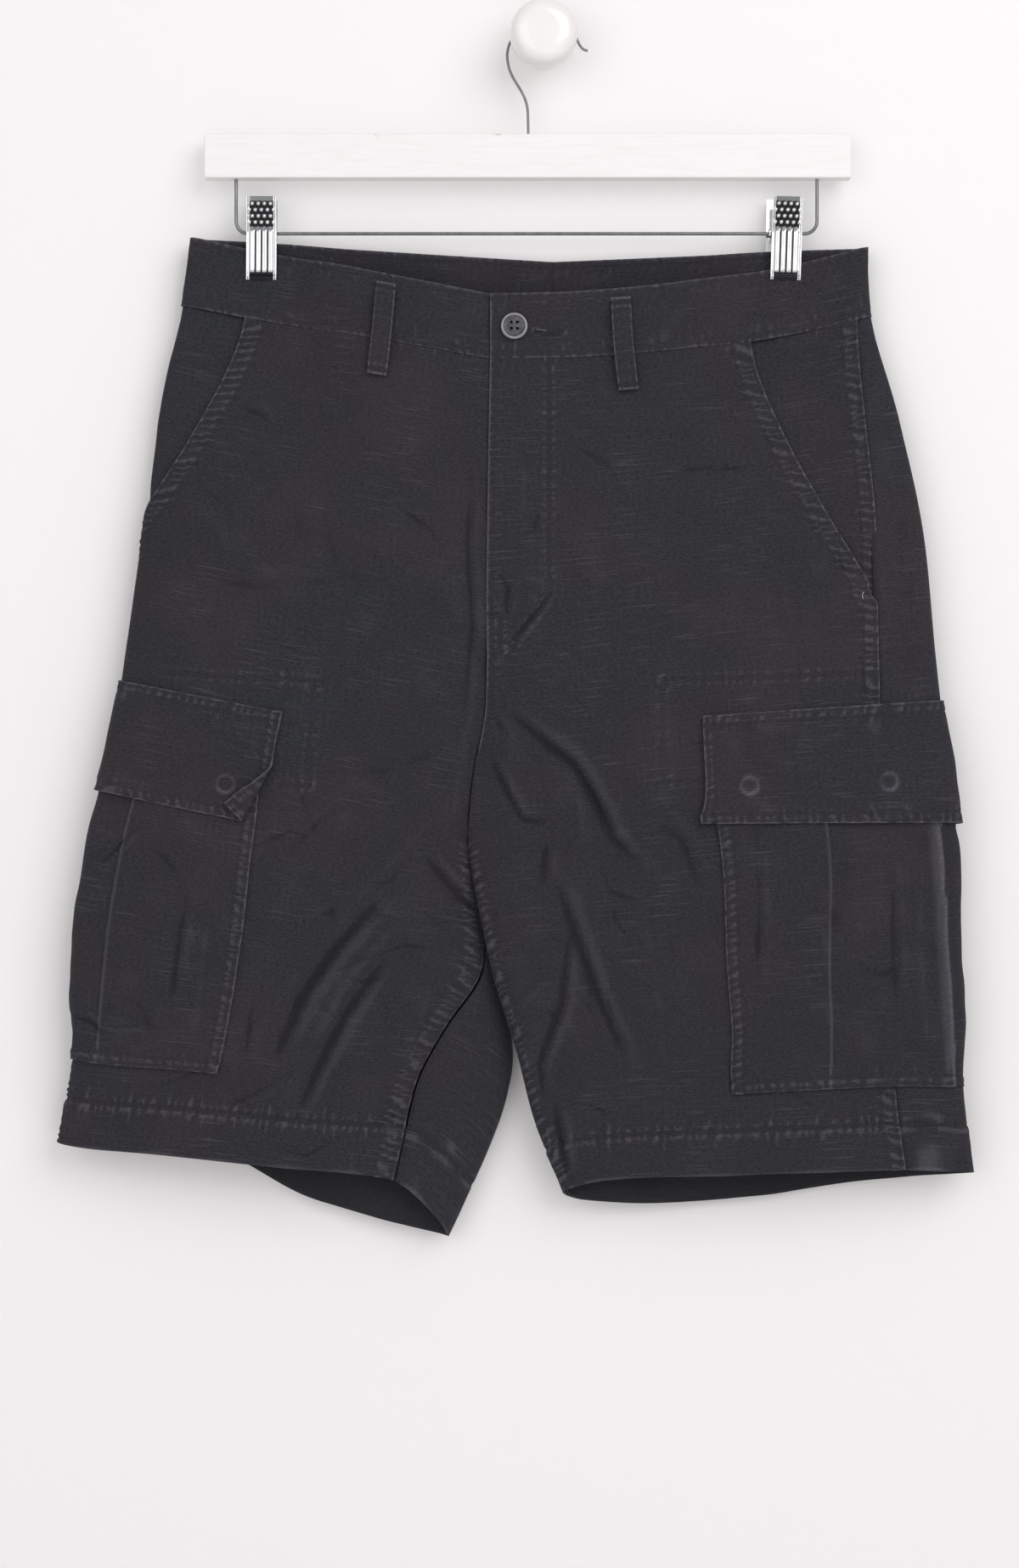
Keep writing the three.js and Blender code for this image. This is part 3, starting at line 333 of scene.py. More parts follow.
def bare_cloth(side, ring, fall):
    """Places on the smooth outer face of the cloth, in millimetres"""
    ring, fall = np.broadcast_arrays(np.asarray(ring, float), np.asarray(fall, float))
    ring = np.where(ring < 0, ring + 2, np.where(ring > 2, ring - 2, ring))
    in_front = ring <= 1
    place = np.where(in_front, ring, 2 - ring)
    rolled = roll_in(fall)
    across = across_width(place, rolled)
    above = fall < CROTCH

    def inner(column):
        centre = np.where(
            in_front, along(CENTRE_FRONT, column, fall), along(CENTRE_BACK, column, fall)
        )
        return np.where(above, centre, along(side["inner"], column, fall))

    inner_y = np.where(above, CENTRE_DEPTH, along(side["inner"], "y", fall))
    x = lerp(inner("x"), along(side["outer"], "x", fall), across)
    z = lerp(inner("z"), along(side["outer"], "z", fall), across)
    dip = side["band_dip"] * 4 * across * (1 - across) * (1 - ease(fall, 0, BAND_DIP_END))
    z = z - np.where(in_front, dip, 0)
    z = z + along(side["hem_rise"], "rise", ring) * ease(fall, HEM_RISE_START, HEM_RISE_END)
    middle = lerp(inner_y, along(side["outer"], "y", fall), across)
    facing = np.where(in_front, -1, 1)
    skin = middle + facing * FOLD_DEPTH * fold_round(place, rolled)
    closing = np.where(
        in_front, ease(fall, CLOSING_FRONT, CROTCH), ease(fall, CLOSING_BACK, CROTCH)
    )
    across = np.clip(across, 0, 1)
    crowned = 1 - lerp(across ** CROWN_POWER, np.abs(2 * across - 1) ** CROWN_POWER, closing)
    crown = np.where(in_front, along(CROWNS, "front", fall), along(CROWNS, "back", fall))
    swollen = lerp(skin, crown, crowned)
    flat = CLIP_PLANE + facing * PRESSED
    y = lerp(swollen, flat, pressed(side, x, fall) * fold_round(place, 0))
    return np.stack([x, y, z], axis=-1)


RING_STEP = 0.012
FALL_STEP = 5


def outward(side, ring, fall):
    """Directions straight out of the cloth"""
    ring, fall = np.broadcast_arrays(np.asarray(ring, float), np.asarray(fall, float))
    above = fall < CROTCH
    before = np.where(above, np.maximum(ring - RING_STEP, 0), ring - RING_STEP)
    after = np.where(above, np.minimum(ring + RING_STEP, 2), ring + RING_STEP)
    round_cloth = bare_cloth(side, after, fall) - bare_cloth(side, before, fall)
    lower = bare_cloth(side, ring, np.minimum(fall + FALL_STEP, HEM))
    upper = bare_cloth(side, ring, np.maximum(fall - FALL_STEP, BAND_TOP))
    normal = np.cross(round_cloth, lower - upper) * side["turn"]
    return normal / np.linalg.norm(normal, axis=-1, keepdims=True)


def width_of(side, fall):
    """Millimetres of cloth in one unit of the ring"""
    inner_x = np.where(
        fall < CROTCH, along(CENTRE_FRONT, "x", fall), along(side["inner"], "x", fall)
    )
    inner_z = np.where(
        fall < CROTCH, along(CENTRE_FRONT, "z", fall), along(side["inner"], "z", fall)
    )
    return np.hypot(along(side["outer"], "x", fall) - inner_x, along(side["outer"], "z", fall) - inner_z)


def locate(side, x, z):
    """The ring and fall of places in the front view, found by a few steps of Newton's method"""
    x, z = np.asarray(x, float), np.asarray(z, float)
    ring, fall = np.full(x.shape, 0.4), np.clip(-z - 200, 0, HEM)
    small_ring, small_fall = 0.002, 0.5
    for _ in range(14):
        here = bare_cloth(side, ring, fall)
        to_ring = (bare_cloth(side, ring + small_ring, fall) - here) / small_ring
        to_fall = (bare_cloth(side, ring, fall + small_fall) - here) / small_fall
        gap_x, gap_z = x - here[..., 0], z - here[..., 2]
        scale = to_ring[..., 0] * to_fall[..., 2] - to_ring[..., 2] * to_fall[..., 0]
        ring = ring + (gap_x * to_fall[..., 2] - gap_z * to_fall[..., 0]) / scale
        fall = fall + (gap_z * to_ring[..., 0] - gap_x * to_ring[..., 2]) / scale
        ring, fall = np.clip(ring, 0.002, 0.99), np.clip(fall, BAND_TOP, HEM)
    return ring, fall


# Lines of the pattern pieces
SLANT_MARGIN = 0.02
SLANT_CURVE = 1.65
SLANT_TURN = 6


def line(side, name, fall):
    return np.maximum(along(side["lines"], name, fall), 0)


def slant_ring(side, fall):
    """The slanting mouth of the front pocket, which meets the side seam at its lower end"""
    seam = line(side, "side", fall)
    run = np.clip(fall / SLANT_END, 0, 1) ** SLANT_CURVE
    slant = lerp(side["slant_top"], line(side, "side", SLANT_END), run)
    margin = SLANT_MARGIN * (1 - ease(fall, SLANT_END - SLANT_TURN, SLANT_END + SLANT_TURN))
    slant = np.minimum(slant, seam - margin)
    return np.where(fall < SLANT_END, slant, seam - margin)


def spread(stops, count):
    """Values between stops, each a value and its number of steps to the next stop"""
    steps = np.cumsum([0] + [step for _, step in stops[:-1]])
    place = np.arange(count + 1)
    rows = []
    for n in place:
        at = min(int(np.searchsorted(steps, n, side="right")) - 1, len(stops) - 2)
        share = (n - steps[at]) / stops[at][1]
        rows.append(lerp(stops[at][0], stops[at + 1][0], share))
    return rows


def step_count(stops):
    return sum(step for _, step in stops[:-1])


# Relief: seams, puckers, crumples and creases, as heights in millimetres
def wander(place, seed, period):
    """A slow uneven wave between about -1 and 1"""
    draw = np.random.default_rng(seed)
    total = np.zeros_like(place, dtype=float)
    for _ in range(4):
        total = total + np.sin(
            2 * math.pi * place / (period * draw.uniform(0.6, 1.7)) + draw.uniform(0, 2 * math.pi)
        )
    return total / 2.2


def pucker(distance, place, seed, height=0.34, period=6.4, reach=8.0, lean=0.22):
    """Uneven ripples that run away from a row of stitching"""
    turn = lean * distance * (1 + 0.8 * wander(place, seed + 2, 55))
    phase = 2 * math.pi * (place + turn) / period + 2.2 * wander(place, seed, 27)
    second = 2 * math.pi * (place - 0.6 * turn) / (0.62 * period) + 2 * wander(place, seed + 9, 19)
    strength = np.clip(0.7 + 0.45 * wander(place, seed + 1, 23), 0.12, 1.35)
    own_reach = reach * (1 + 0.35 * wander(place, seed + 4, 13))
    fade = np.exp(-(distance / own_reach) ** 2) * (1 - 0.6 * np.exp(-(distance / 1.2) ** 2))
    return height * strength * fade * (0.75 * np.sin(phase) + 0.4 * np.sin(second))


def groove(distance, depth=0.3, half=1.2):
    return -depth * np.exp(-(distance / half) ** 2)


def crumple(x, z, seed, amount):
    """Gentle unevenness of washed cloth"""
    draw = np.random.default_rng(seed)
    total = np.zeros_like(x, dtype=float)
    for _ in range(14):
        period = draw.uniform(16, 75)
        angle = draw.uniform(0, math.pi)
        wave = (x * math.cos(angle) + z * math.sin(angle)) / period
        bend = 0.6 * np.sin((x * math.sin(angle) - z * math.cos(angle)) / (period * 1.3))
        total = total + (period / 60) * np.sin(2 * math.pi * wave + bend + draw.uniform(0, 6.3))
    return amount * total / 2.2


CREASE_GAIN = 1.15


def crease_relief(creases, x, z):
    """Folds along lines, sharper on one side than the other"""
    total = np.zeros_like(x, dtype=float)
    for places, rise, half in creases:
        points = np.array(places, float)
        runs = np.diff(points, axis=0)
        lengths = np.hypot(runs[:, 0], runs[:, 1])
        starts = np.concatenate([[0], np.cumsum(lengths)])
        nearest = np.full(x.shape, 1e9)
        way, sign = np.zeros_like(nearest), np.ones_like(nearest)
        for n, (run_x, run_z) in enumerate(runs):
            from_x, from_z = x - points[n, 0], z - points[n, 1]
            share = np.clip((from_x * run_x + from_z * run_z) / lengths[n] ** 2, 0, 1)
            gap = np.hypot(from_x - share * run_x, from_z - share * run_z)
            closer = gap < nearest
            nearest = np.where(closer, gap, nearest)
            way = np.where(closer, (starts[n] + share * lengths[n]) / starts[-1], way)
            sign = np.where(closer, np.sign(run_x * from_z - run_z * from_x), sign)
        reach = half * np.where(sign > 0, 0.6, 1.25)
        taper = 0.12 + 0.88 * np.sin(math.pi * np.clip(way, 0.02, 0.98)) ** 0.7
        main = 1 / (1 + (nearest / (0.5 * reach)) ** 2) ** 1.5
        beside = np.where(sign > 0, np.exp(-((nearest - 1.1 * half) / (0.5 * half)) ** 2), 0)
        total = total + CREASE_GAIN * rise * taper * (main - 0.35 * beside * (rise < 0))
    return total


def fine_creases(seed, count, low, high, tilt):
    """Many short faint creases as washing leaves them, in a box of (x, z) places"""
    draw = np.random.default_rng(seed)
    made = []
    for _ in range(count):
        x, z = draw.uniform(low[0], high[0]), draw.uniform(low[1], high[1])
        angle = draw.normal(tilt, 0.55)
        length = draw.uniform(16, 62)
        bend = draw.uniform(-0.22, 0.22) * length
        run_x, run_z = math.cos(angle) * length, math.sin(angle) * length
        middle = (x + run_x / 2 - math.sin(angle) * bend, z + run_z / 2 + math.cos(angle) * bend)
        places = ((x, z), middle, (x + run_x, z + run_z))
        made.append((places, draw.uniform(-0.75, -0.25), draw.uniform(1.8, 3.6)))
    return tuple(made)


def distance_to(places, x, z):
    """Distance to a line of (x, z) places, and how far along it"""
    points = np.array(places, float)
    nearest = np.full(np.shape(x), 1e9)
    way = np.zeros_like(nearest)
    passed = 0.0
    for (start_x, start_z), (end_x, end_z) in zip(points[:-1], points[1:]):
        run_x, run_z = end_x - start_x, end_z - start_z
        length = math.hypot(run_x, run_z)
        share = np.clip(((x - start_x) * run_x + (z - start_z) * run_z) / length ** 2, 0, 1)
        gap = np.hypot(x - start_x - share * run_x, z - start_z - share * run_z)
        closer = gap < nearest
        nearest = np.where(closer, gap, nearest)
        way = np.where(closer, passed + share * length, way)
        passed += length
    return nearest, way


def stitched_outline(places, x, z, seed, height=0.16):
    """A stitched line on the front, given by (x, z) places"""
    gap, way = distance_to(places, x, z)
    near = np.exp(-(gap / 6) ** 2)
    relief = groove(gap, 0.45, 1.5) + pucker(gap, way, seed, 1.6 * height, 5.5, 6) * near
    return relief, 0.12 * np.exp(-((gap - 2.2) / 1.4) ** 2)


# Stitched lines of the front in the front view: the curved fly line, the box and bars at its foot,
# and the outlines of the reinforcement behind each cargo pocket
FLY_CURVE = (
    (3.5, -208), (3.5, -280), (3.5, -357), (1.4, -361), (-3.8, -369), (-10.8, -376),
    (-15.1, -384), (-20.5, -393), (-21.6, -397),
)
FLY_BOX = ((-36, -370), (-27.5, -370), (-27.5, -394), (-36, -394))
# Bars sewn across the fly's foot: places, pitch and length of a stitch
FLY_BARS = (
    (((-37.5, -368.6), (-28, -368.6)), 0.7, 2.2),
    (((-37, -411), (-28, -411)), 0.7, 2.4),
    (((-34.5, -414), (-34.5, -423)), 1.1, 4),
)
# The pale frayed threads at the foot of the left slant mouth and beside the button
FRAYED_BAR = ((203.5, -355), (202.2, -357.5), (203.8, -360))
FRAYED_SLIT = ((-4.5, -188.3), (2, -189))
INSEAM_START = {"right": 340, "left": 330}
PATCH_OUTLINES = {
    "right": (
        ((-243, -406), (-200, -409), (-153, -411), (-140.5, -412)),
        ((-144.8, -412), (-148, -452), (-148.5, -478)),
        ((-148.5, -478), (-168, -478)),
    ),
    "left": (
        ((75, -411), (150, -409), (222, -405), (250, -404)),
        ((75, -411), (75, -475)),
        ((75, -475), (100, -475)),
    ),
}
BAND_WIDTH = {"slant": 12.5, "side": 10, "inseam": 13}


def banded(inside, width, place, seed, height=0.55, rise=0.6):
    """A felled band along an edge: inside is the distance from the edge into the band"""
    raised = rise * (1 - ease(inside, width - 1.5, width + 2.5))
    ladder = height * within(inside, -0.5, 2, width - 2, width + 4)
    ladder = ladder * np.clip(0.75 + 0.45 * wander(place, seed, 21), 0.15, 1.3)
    wave = np.sin(2 * math.pi * (place + 0.3 * inside) / 5.8 + 2.1 * wander(place, seed + 3, 23))
    other = np.sin(2 * math.pi * (place - 0.4 * inside) / 3.9 + 2 * wander(place, seed + 8, 17))
    ladder = ladder * (0.95 * wave + 0.25 * other)
    beyond = pucker(inside - width, place, seed + 5, 0.24, 6.2, 6)
    lines = groove(inside - 1.8, 0.3) + groove(inside - width + 0.5, 0.5)
    patchy = np.clip(0.75 + 0.35 * wander(place, seed + 7, 11), 0.2, 1.2)
    edge = 1.4 * np.exp(-(np.abs(inside) / 1.2) ** 2) * patchy
    return raised + ladder + lines + np.where(inside > width - 2, beyond, 0), edge


def calm_at_folds(ring, fall):
    """0 at the folds of the leg and at the waist seam, 1 away from them"""
    place = np.where(ring > 1, 2 - ring, ring)
    inner = 1 - roll_in(fall) * (1 - ease(place, 0, 0.06))
    return ease(1 - place, 0.02, 0.09) * inner * ease(fall, 0, 22)


def hem_relief(fall, x, seed):
    distance = fall - HEM_STITCH
    ripples = pucker(distance, x, seed, 0.5, 6.4, 8, 0.15)
    ripples = ripples + pucker(distance, x, seed + 2, 0.42, 4.4, 4, -0.2)
    edge = np.exp(-((HEM - fall) / 1.6) ** 2)
    edge_wave = 0.7 * wander(x, seed + 4, 60) * ease(fall, HEM_STITCH + 5, HEM)
    band = 0.5 * ease(distance, 0, 3)
    return ripples + groove(distance, 0.5, 1.5) + band + edge_wave, 0.55 * edge


def leg_base(side, ring, fall, x, z):
    """Creases and crumple of a whole leg"""
    in_front = ring <= 1
    hand = side["hand"]
    front = crease_relief(FRONT_CREASES[hand] + FINE_CREASES[hand], x, z)
    front = front + crumple(x, z, side["seed"], 0.34)
    back = crease_relief(BACK_CREASES[hand], x, z) + crumple(x, z, side["seed"] + 1, 0.4)
    return np.where(in_front, front, back) * calm_at_folds(ring, fall)


FINE_CREASES = {
    "right": fine_creases(5, 34, (-275, -690), (-70, -230), -0.7)
    + fine_creases(6, 16, (-170, -700), (-70, -480), -2.2),
    "left": fine_creases(7, 34, (-20, -690), (230, -230), -0.75)
    + fine_creases(8, 16, (-10, -700), (80, -480), -1.1),
}


def front_relief(side, ring, fall, x, z):
    seed = side["seed"]
    width = width_of(side, fall)
    wear_and_shade = np.zeros_like(x)
    shown = 1 - ease(fall, POCKET_TOP - 20, POCKET_TOP) + ease(fall, POCKET_BOTTOM, POCKET_BOTTOM + 6)
    height = pucker(fall, x, seed + 11, 0.22, 6.5, 7)
    mouth = (slant_ring(side, fall) - ring) * width
    above = 1 - ease(fall, SLANT_END - 4, SLANT_END + 8)
    relief, edge = banded(mouth, BAND_WIDTH["slant"], fall, seed + 20)
    height = height + relief * above
    wear_and_shade = wear_and_shade + 0.75 * edge * above
    seam = (line(side, "side", fall) - ring) * width
    relief, edge = banded(seam, BAND_WIDTH["side"], fall, seed + 30)
    below = ease(fall, SLANT_END - 2, SLANT_END + 8) * shown
    height = height + relief * below
    wear_and_shade = wear_and_shade + 0.6 * edge * below
    inner = (ring - line(side, "inseam", fall)) * width
    relief, edge = banded(inner, BAND_WIDTH["inseam"], fall, seed + 40)
    legs = ease(fall, CROTCH - 4, CROTCH + 14)
    height = height + relief * legs
    wear_and_shade = wear_and_shade + 0.45 * edge * legs
    relief, edge = hem_relief(fall, x, seed + 50)
    near_hem = ease(fall, HEM_STITCH - 40, HEM_STITCH - 25)
    height = height + relief * near_hem
    wear_and_shade = wear_and_shade + edge
    for n, outline in enumerate(PATCH_OUTLINES[side["hand"]]):
        relief, edge = stitched_outline(outline, x, z, seed + 60 + n)
        height = height + relief
        wear_and_shade = wear_and_shade + edge
    if side["hand"] == "left":
        lap = ring * width
        top = 1 - ease(fall, FLY_END + 60, FLY_END + 80)
        relief, edge = banded(lap, 4, fall, seed + 70, 0.2, 0.25)
        height = height + relief * top
        wear_and_shade = wear_and_shade + 0.9 * edge * top
        for n, outline in enumerate((FLY_CURVE, FLY_BOX)):
            relief, edge = stitched_outline(outline, x, z, seed + 75 + n, 0.24)
            height = height + relief
            wear_and_shade = wear_and_shade + edge
    else:
        beside = ring * width
        height = height - 1.5 * np.exp(-(beside / 6) ** 2) * within(fall, 150, 215, 285, CROTCH)
    return height, wear_and_shade


def back_relief(side, ring, fall, x, z):
    seed = side["seed"]
    width = width_of(side, fall)
    height = pucker(fall, x, seed + 111, 0.22, 6.5, 7)
    centre = (2 - ring) * width
    relief, edge = banded(centre, 9, fall, seed + 120)
    above = 1 - ease(fall, CROTCH - 20, CROTCH)
    height = height + relief * above
    wear_and_shade = 0.4 * edge * above
    relief, edge = hem_relief(fall, x, seed + 150)
    height = height + relief * ease(fall, HEM_STITCH - 40, HEM_STITCH - 25)
    return height, wear_and_shade + edge


def facing_relief(side, ring, fall, x, z):
    seed = side["seed"]
    seam = (line(side, "side", fall) - ring) * width_of(side, fall)
    relief, edge = banded(seam, BAND_WIDTH["side"], fall, seed + 30)
    height = crumple(x, z, seed + 5, 0.25) * ease(seam, 0, 12) + relief
    return height + pucker(fall, x, seed + 12, 0.2, 6.5, 7), 0.6 * edge


# The slit of the buttonhole beside the button, in (x, z) of the front view
BUTTONHOLE = ((-5.5, -188.8), (-1, -190.2), (6, -190.6), (12.3, -189.6))


def band_relief(side, ring, fall, x, z):
    seed = side["seed"]
    top, bottom = fall - BAND_TOP, -fall
    height = crumple(x, z, seed + 6, 0.22) * ease(top, 0, 12)
    height = height + pucker(top - 3.2, x, seed + 80, 0.2, 6.8, 6) + groove(top - 3.2, 0.2)
    height = height + pucker(bottom - 2.2, x, seed + 82, 0.26, 6.2, 8) + groove(bottom - 2.2, 0.25)
    diagonal = wander(x + 0.9 * fall, seed + 84, 34) * 0.14 * ease(top, 2, 14) * ease(bottom, 0, 10)
    wear_and_shade = 0.55 * np.exp(-(top / 1.4) ** 2) + 0.6 * np.exp(-(bottom / 1.2) ** 2)
    if side["hand"] == "left":
        end = ring * width_of(side, fall)
        wear_and_shade = wear_and_shade + 0.8 * np.exp(-(end / 1.3) ** 2) * (ring < 1)
        height = height + groove(end - 3, 0.2) * (ring < 1)
        gap, _ = distance_to(BUTTONHOLE, x, z)
        height = height + (0.5 * np.exp(-((gap - 1.6) / 1.1) ** 2) + groove(gap, 0.9, 0.8)) * (ring < 1)
        # The buttonhole's slit is darkened: painted shade in the slit
        wear_and_shade = wear_and_shade - 1.2 * np.exp(-(gap / 0.9) ** 2) * (ring < 1)
    return height + diagonal, wear_and_shade


# Cargo pocket and flap
POCKET_SWELL = 3
MOUTH_SWELL = 0.5
FILLED_FRONT = 0.3
FILLED_BACK = 0.16
FILLED_BOTTOM = 0.22
FILLED_MOUTH = 0.35
PLEAT_STEP = 1.6
PLEAT_HALF = 0.004
PLEAT_FADE_SHARE = 0.6
PLEAT_FADE_REACH = 0.15
FLAP_CLEARS = 0.55


def pocket_swell(side, ring, fall):
    front = line(side, "pocket", fall)
    u = np.clip((ring - front) / (side["pocket_back"] - front), 0, 1)
    w = np.clip((fall - POCKET_TOP) / (POCKET_BOTTOM - POCKET_TOP), 0, 1)
    filled = ease(u, 0, FILLED_FRONT) * ease(1 - u, 0, FILLED_BACK) * ease(1 - w, 0, FILLED_BOTTOM)
    return filled * lerp(MOUTH_SWELL, 1, ease(w, 0, FILLED_MOUTH)) * POCKET_SWELL


def pocket_lift(side, ring, fall):
    swell = pocket_swell(side, ring, fall)
    pleat = line(side, "pleat", fall)
    fade = PLEAT_FADE_SHARE * ease(ring, pleat, pleat + PLEAT_FADE_REACH)
    step = np.where(ring > pleat, PLEAT_STEP * (1 - fade), 0)
    return SEAM_GAP + np.maximum(swell - step, 0) + CLOTH


def flap_lift(side, ring, fall):
    hang = (fall - FLAP_TOP) / (FLAP_BOTTOM - FLAP_TOP)
    over = pocket_swell(side, ring, np.maximum(fall, POCKET_TOP)) + CLOTH + LAYER_GAP
    return SEAM_GAP + ease(hang, 0, FLAP_CLEARS) * over + CLOTH


# The outer edge of the left pocket's face, in x at its top and bottom
FACE_EDGE_TOP = 252
FACE_EDGE_BOTTOM = 262


def pocket_folds(side, ring, fall, x, z):
    """The pocket's own creases, which end before its seams"""
    own = 0.7 * crease_relief(POCKET_CREASES[side["hand"]], x, z) + crumple(x, z, side["seed"] + 7, 0.4)
    width = width_of(side, fall)
    inside = (ring - line(side, "pocket", fall)) * width
    back = (side["pocket_back"] - ring) * width
    return own * ease(inside, 8, 22) * ease(POCKET_BOTTOM - fall, 6, 20) * ease(back, 4, 14)


def pocket_relief(side, ring, fall, x, z):
    seed = side["seed"]
    width = width_of(side, fall)
    inside = (ring - line(side, "pocket", fall)) * width
    bottom = POCKET_BOTTOM - fall
    back = (side["pocket_back"] - ring) * width
    height, edge = banded(inside, 8, fall, seed + 90, 0.34, 0.4)
    wear_and_shade = 0.6 * edge
    foot, edge = banded(bottom, 8, x, seed + 94, 0.28, 0.3)
    height = height + foot
    wear_and_shade = wear_and_shade + 0.5 * edge
    height = height + groove(back - 1.8, 0.2) + pucker(back - 1.8, fall, seed + 98, 0.2)
    if side["hand"] == "left":
        face_edge = lerp(FACE_EDGE_TOP, FACE_EDGE_BOTTOM, np.clip((-505 - z) / 165, 0, 1)) - x
        height = height - 1.7 * (1 - ease(face_edge, -1.6, 0.4)) + groove(face_edge - 2, 0.25, 1)
        wear_and_shade = wear_and_shade + 0.7 * np.exp(-((face_edge - 0.4) / 1.0) ** 2)
    pleat = (line(side, "pleat", fall) - ring) * width
    wear_and_shade = wear_and_shade + 0.55 * np.exp(-((pleat - 0.6) / 1.1) ** 2) + 0.4 * np.exp(-(back / 1.4) ** 2)
    height = height + groove(pleat - 2.4, 0.14, 1)
    return height, wear_and_shade


# Snap places press through the flaps from inside, in (x, z) of the front view
SNAPS = {"right": ((-200.5, -477),), "left": ((129.8, -478), (217.8, -475.5))}
SNAP_RADIUS = 5.4


def flap_relief(side, ring, fall, x, z):
    seed = side["seed"]
    width = width_of(side, fall)
    height = crumple(x, z, seed + 8, 0.3)
    inside = (ring - line(side, "flap", fall)) * width
    bottom = FLAP_BOTTOM - fall
    top = fall - FLAP_TOP
    back = (side["pocket_back"] - ring) * width
    front, edge = banded(inside, 7.5, fall, seed + 100, 0.28, 0.3)
    foot, foot_edge = banded(bottom, 6.5, x, seed + 104, 0.42, 0.3)
    head, head_edge = banded(top, 7, x, seed + 108, 0.26, 0.3)
    height = height + front + foot + head + groove(back - 1.8, 0.2)
    wear_and_shade = 0.7 * edge + 0.6 * foot_edge + 0.55 * head_edge + 0.45 * np.exp(-(back / 1.3) ** 2)
    for snap_x, snap_z in SNAPS[side["hand"]]:
        gap = np.hypot(x - snap_x, z - snap_z)
        ring_mark = np.exp(-((gap - SNAP_RADIUS) / 1.9) ** 2)
        height = height + 0.4 * ring_mark + 0.2 * (1 - ease(gap, 2, SNAP_RADIUS))
        # The raised snap rings get a little wear all round, and a painted highlight on their lower side
        wear_and_shade = wear_and_shade + ring_mark * (0.08 + 0.26 * ease(snap_z - z, -2, 5))
        pull = np.exp(-((x - snap_x) / 5) ** 2) * ease(z - snap_z, 4, 14) * ease(-top, -60, -8)
        height = height - 0.5 * pull
    return height, wear_and_shade


# The front lower corner of the right flap is folded up over its outside
FOLD_LINE = ((-173.5, -464.0), (-195.2, -504.5))
FOLD_RADIUS = 1.5


def turn_up_corner(points):
    """Rolls the corner of the flap beyond the fold line up and over"""
    (start_x, start_z), (end_x, end_z) = FOLD_LINE
    run = np.array([end_x - start_x, end_z - start_z])
    run = run / np.hypot(*run)
    # The corner lies on the side of greater x
    normal = np.array([-run[1], run[0]])
    normal = normal if normal[0] > 0 else -normal
    flat = points[..., [0, 2]] - np.array([start_x, start_z])
    beyond = flat @ normal
    length = math.pi * FOLD_RADIUS
    angle = np.clip(beyond / FOLD_RADIUS, 0, math.pi)
    moved = FOLD_RADIUS * np.sin(angle) - np.maximum(beyond - length, 0)
    rise = FOLD_RADIUS * (1 - np.cos(angle))
    shift = np.where(beyond > 0, moved - beyond, 0)
    made = points.copy()
    made[..., 0] += shift * normal[0]
    made[..., 2] += shift * normal[1]
    # The turned part lies on the flap where it comes to rest
    made[..., 1] -= np.where(beyond > 0, rise * 1.15, 0)
    return made


WALL_CLEAR = 0.7


# How far the corners of the left flap hang below the lines of the leg: front and back, top and foot
FLAP_SLIDE = {"top": (-6, 1), "foot": (-11, 6.5)}


def level_flap(side, ring, fall):
    """Slides the left flap over the leg, so that it hangs level"""
    front = line(side, "flap", fall)
    across = np.clip((ring - front) / (1 - front), 0, 1)
    hang = np.clip((fall - FLAP_TOP) / (FLAP_BOTTOM - FLAP_TOP), 0, 1)
    top = lerp(*FLAP_SLIDE["top"], across)
    return fall + lerp(top, lerp(*FLAP_SLIDE["foot"], across), hang)


def surface_of(side, relief, lift, base=0, own=None, after=None, slide=None):
    """A function from ring and fall to places on a piece's outer face, with heights, wear with painted shade at
    the buttonhole's slit, and fold heights that later set painted fold highlight and shade.
    base is the share of the leg's own creases that the piece follows."""
    def surface(ring, fall):
        placed = fall if slide is None else slide(side, ring, fall)
        bare = bare_cloth(side, ring, placed)
        height, wear_and_shade = relief(side, ring, fall, bare[..., 0], bare[..., 2])
        folds_and_painted_shade = np.zeros_like(height)
        if base:
            folds_and_painted_shade = base * leg_base(side, ring, placed, bare[..., 0], bare[..., 2])
        if own is not None:
            folds_and_painted_shade = folds_and_painted_shade + own(side, ring, fall, bare[..., 0], bare[..., 2])
        total = height + folds_and_painted_shade + lift(side, ring, fall)
        points = bare + outward(side, ring, placed) * total[..., None]
        points[..., 1] = np.minimum(points[..., 1], -WALL_CLEAR)
        if after is not None:
            points = after(points)
        return points, height, wear_and_shade, folds_and_painted_shade
    return surface


def blurred(heights, reach):
    """A box blur along both ways of a grid"""
    for axis in (0, 1):
        padding = [(0, 0), (0, 0)]
        padding[axis] = (reach + 1, reach)
        total = np.cumsum(np.pad(heights, padding, mode="edge"), axis=axis)
        size = 2 * reach + 1
        high = np.take(total, range(size, total.shape[axis]), axis=axis)
        low = np.take(total, range(0, total.shape[axis] - size), axis=axis)
        heights = (high - low) / size
    return heights


def join_scene(name, mesh, material):
    """Adds an object that holds a mesh with one material"""
    mesh.materials.append(material)
    obj = bpy.data.objects.new(name, mesh)
    bpy.context.scene.collection.objects.link(obj)
    return obj


def grid_mesh(name, columns, rows):
    """A flat grid, and the column and row of each of its vertices"""
    bm = bmesh.new()
    bmesh.ops.create_grid(bm, x_segments=columns, y_segments=rows, size=0.5)
    mesh = bpy.data.meshes.new(name)
    bm.to_mesh(mesh)
    bm.free()
    places = np.empty(len(mesh.vertices) * 3)
    mesh.vertices.foreach_get("co", places)
    places = places.reshape(-1, 3)
    column = np.rint((places[:, 0] + 0.5) * columns).astype(int)
    row = np.rint((0.5 - places[:, 1]) * rows).astype(int)
    return mesh, column, row


